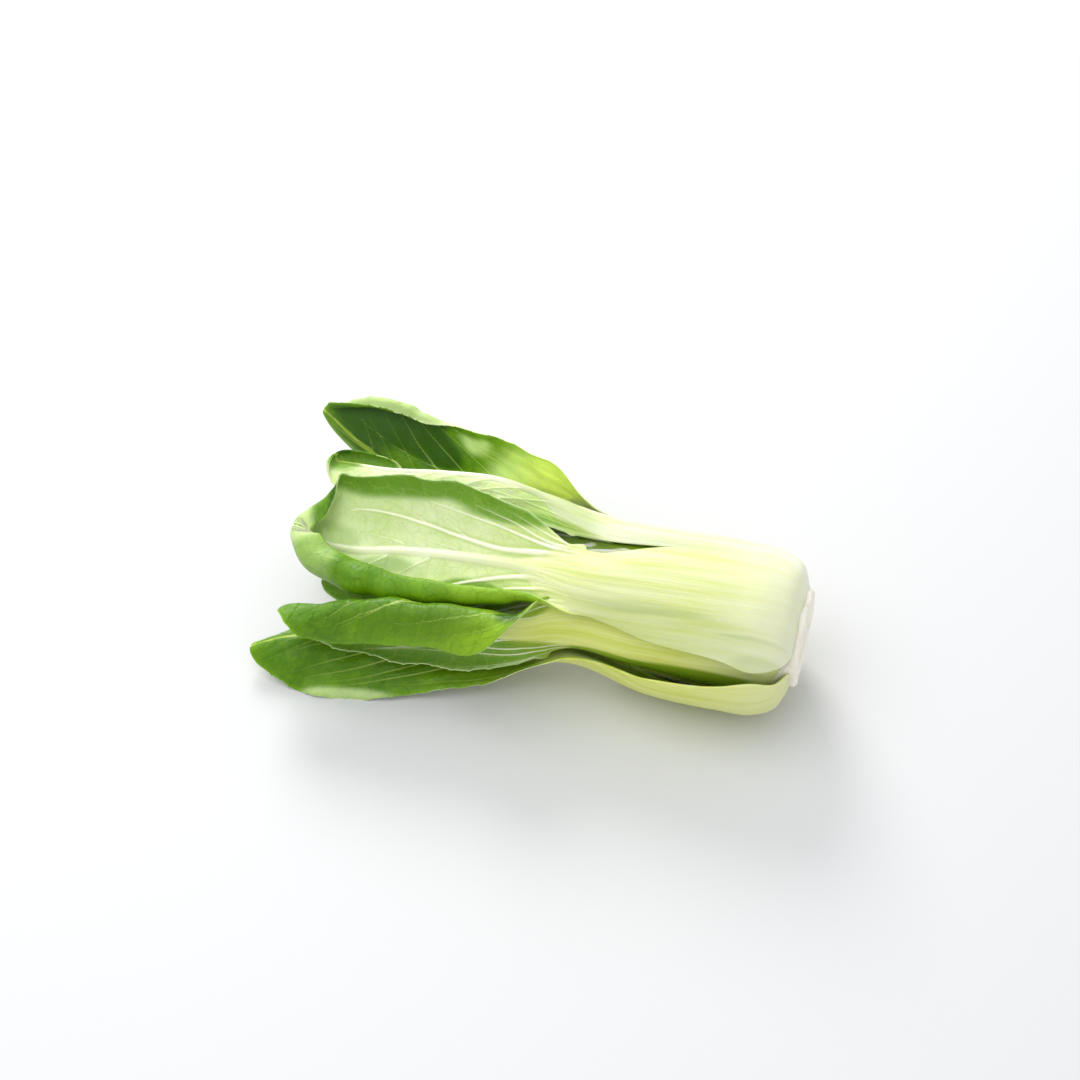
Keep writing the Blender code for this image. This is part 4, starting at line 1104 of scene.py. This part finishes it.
def leaf_paint(name, skin):
    """A leaf's skin: pale stalk and ribs that run out into a green blade with paler veins."""
    paint = Paint(name)
    solid = paint.where("Object")
    mm = paint.stretch(paint.where("UV"), FLAT_WIDTH, FLAT_LENGTH)
    green, veins, dip_shade, margin, base, young, yellow, light_and_shade = (
        paint.read(key)
        for key in ("green", "vein", "dip", "margin", "base", "young", "yellow", "light_and_shade")
    )
    ribs = paint.span(veins, 0.08, 0.5)
    # Painted shade where the patches are above 0, and painted light where they are below it
    painted_shade = paint.span(light_and_shade, 0.0, 1.0)
    painted_light = paint.span(light_and_shade * -1.0, 0.0, 1.0)  # where the blade is paler

    # The stalk: cream at its base, yellow-green towards the neck, in soft bands along it
    bands = paint.noise(paint.stretch(mm, 0.35, 0.02), 1.0, detail=3.0)
    streaks = paint.noise(paint.stretch(mm, 2.2, 0.03), 1.0)
    pale, deep = (paint.mix(yellow, *pair) for pair in (STALK_PALE, STALK_DEEP))
    stalk = paint.mix(paint.span(bands, 0.35, 0.68), pale, deep)
    stalk = paint.mix(paint.span(streaks, 0.45, 0.75) * 0.4, stalk, STALK_STREAK)
    stalk = paint.mix(base * (1.0 - yellow * 0.6), stalk, STALK_BASE)
    stalk = paint.mix((1.0 - young) * 0.85, stalk, skin.vein)
    # The inner face's stalk is greener, partly as painted shade for light let through into gaps
    stalk = paint.mix(skin.inner, stalk, STALK_INSIDE_SHADE_GREEN)
    # Painted shade on the stalks from the patches, with the veins kept pale in it
    stalk = paint.mix(painted_shade * 0.92, stalk, STALK_PAINTED_SHADE)
    stalk = paint.mix(ribs * painted_shade * 0.8, stalk, skin.vein)

    # The blade: random patches of lighter and darker green, painted shade and painted light, with
    # two nets of fine veins
    patches = paint.noise(solid, 38.0, detail=3.0, roughness=0.55)
    fine = paint.noise(solid, 260.0, roughness=0.6)
    lamina = paint.mix(paint.span(patches, 0.3, 0.7), skin.dark, skin.light)
    lamina = paint.mix(0.5, lamina, skin.blade)
    lamina = paint.mix(paint.span(fine, 0.4, 0.7) * 0.25, lamina, skin.light)
    lamina = paint.mix(young * 0.65, lamina, skin.young)
    # Painted shade: the dark green of shaded hollows and of walls that light shines through
    lamina = paint.mix(painted_shade * 0.92, lamina, skin.deep)
    # Painted light: pale green light let through the leaf near the neck, and a painted sheen past
    # it
    lamina = paint.mix(painted_light * 0.9, lamina, paint.mix(young, skin.milky, skin.pale))
    bent = paint.node("ShaderNodeVectorMath", {"operation": "MULTIPLY_ADD"}, {
        0: paint.noise(mm, 0.22), 1: (5.0, 5.0, 5.0), 2: mm,
    })
    netting = paint.net(bent, 0.2, 0.06)
    fine_net = paint.net(bent, 0.62, 0.09)
    netted = (1.0 - painted_light * 0.85) * skin.net_share
    lamina = paint.mix(netting * netted, lamina, skin.net)
    lamina = paint.mix(fine_net * netted * 0.4, lamina, skin.net)
    # Painted shade in the dips beside the veins, weaker where painted light is
    lamina = paint.mix(dip_shade * (0.55 - painted_light * 0.4), lamina, skin.dark)
    lamina = paint.mix(ribs * skin.vein_share, lamina, skin.vein)
    # A painted highlight along the margin
    lamina = paint.mix(margin ** 3.0 * 0.45, lamina, skin.light)

    gloss = paint.noise(solid, 55.0)
    height = (
        netting * green * 0.55 + fine_net * green * 0.28 + fine * 0.5
        + streaks * (1.0 - green) * 0.8
    )
    paint.set(
        Base_Color=paint.mix(green, stalk, lamina), Roughness=0.36 + (gloss - 0.5) * 0.18,
        Normal=paint.bump(height, 0.35, 0.0004), Specular_IOR_Level=skin.shine,
        Subsurface_Weight=0.7, Subsurface_Radius=(0.8, 1.0, 0.12), Subsurface_Scale=0.0009,
    )
    return paint.material


def butt_paint():
    """The cut stem: cream with a faint pink, in soft blotches with brown specks."""
    paint = Paint("cut stem")
    solid = paint.where("Object")
    blotches = paint.noise(solid, 120.0, detail=4.0, roughness=0.6)
    specks = paint.noise(solid, 420.0, roughness=0.7)
    colour = paint.mix(paint.span(blotches, 0.3, 0.7), shade(250, 246, 234), shade(238, 229, 208))
    colour = paint.mix(paint.span(specks, 0.66, 0.75) * 0.6, colour, shade(168, 150, 92))
    paint.set(
        Base_Color=colour, Roughness=0.55 + (blotches - 0.5) * 0.2,
        Normal=paint.bump(blotches * 0.7 + specks * 0.3, 0.6, 0.0006),
        Subsurface_Weight=0.3, Subsurface_Radius=(1.0, 0.8, 0.5), Subsurface_Scale=0.003,
    )
    return paint.material


faces = leaf_paint("leaf outside", OUTSIDE), leaf_paint("leaf inside", INSIDE)
for name, leaf in LEAVES.items():
    leaf_piece(name, leaf, FINISH[name], faces)
butt_piece(butt_paint())

# The floor, the light and the camera. A light has its place, size, power and colour.
FLOOR_SIZE = 6
FLOOR_COLOUR = (0.675, 0.675, 0.68, 1)
SKY_COLOUR = (0.96, 0.98, 1.0, 1)
SKY_STRENGTH = 0.83
LIGHTS = {
    "key": ((-0.45, 0.8, 0.68), 0.5, 7.8, (1.0, 0.99, 0.97)),
    "fill": ((-0.35, -0.15, 1.0), 1.0, 4.5, (1.0, 1.0, 1.0)),
}
LIGHT_AIM = (0, 0, 0.03)
AZIMUTH, ELEVATION, DISTANCE = np.radians(15.5), np.radians(50), 0.9
PICTURE = 1080  # pixels across
PIXEL = 0.35 * MM  # what one of them covers at the head
CUT_FACE_PIXEL = np.array([806, 639])  # where the middle of the cut face is in the picture
SENSOR = 36

deselect()
bpy.ops.mesh.primitive_plane_add(size=FLOOR_SIZE)
floor = bpy.context.object
floor.name = "floor"
floor_paint = Paint("floor")
floor_paint.set(Base_Color=FLOOR_COLOUR, Roughness=0.6)
floor.data.materials.append(floor_paint.material)

world = bpy.data.worlds.new("studio")
bpy.context.scene.world = world
world.use_nodes = True
sky = world.node_tree.nodes["Background"]
sky.inputs["Color"].default_value = SKY_COLOUR
sky.inputs["Strength"].default_value = SKY_STRENGTH
for name, (place, size, power, colour) in LIGHTS.items():
    lamp = bpy.data.lights.new(name, "AREA")
    lamp.shape = "DISK"
    lamp.size = size
    lamp.energy = power
    lamp.color = colour
    holder = bpy.data.objects.new(name, lamp)
    holder.location = place
    way = Vector(LIGHT_AIM) - Vector(place)
    holder.rotation_euler = way.to_track_quat("-Z", "Y").to_euler()
    bpy.context.scene.collection.objects.link(holder)

right = np.array([np.cos(AZIMUTH), np.sin(AZIMUTH), 0])
back = np.array([
    np.sin(AZIMUTH) * np.cos(ELEVATION), -np.cos(AZIMUTH) * np.cos(ELEVATION), np.sin(ELEVATION),
])
up = np.cross(back, right)
off = (CUT_FACE_PIXEL - PICTURE / 2) * PIXEL
target = HEAD * MM - right * off[0] + up * off[1]
lens = bpy.data.cameras.new("camera")
lens.sensor_width = SENSOR
lens.lens = SENSOR * DISTANCE / (PICTURE * PIXEL)
lens.clip_end = 10
camera = bpy.data.objects.new("camera", lens)
camera.location = target + back * DISTANCE
camera.rotation_euler = Vector(-back).to_track_quat("-Z", "Y").to_euler()
bpy.context.scene.collection.objects.link(camera)
bpy.context.scene.camera = camera
bpy.context.scene.view_settings.view_transform = "Standard"
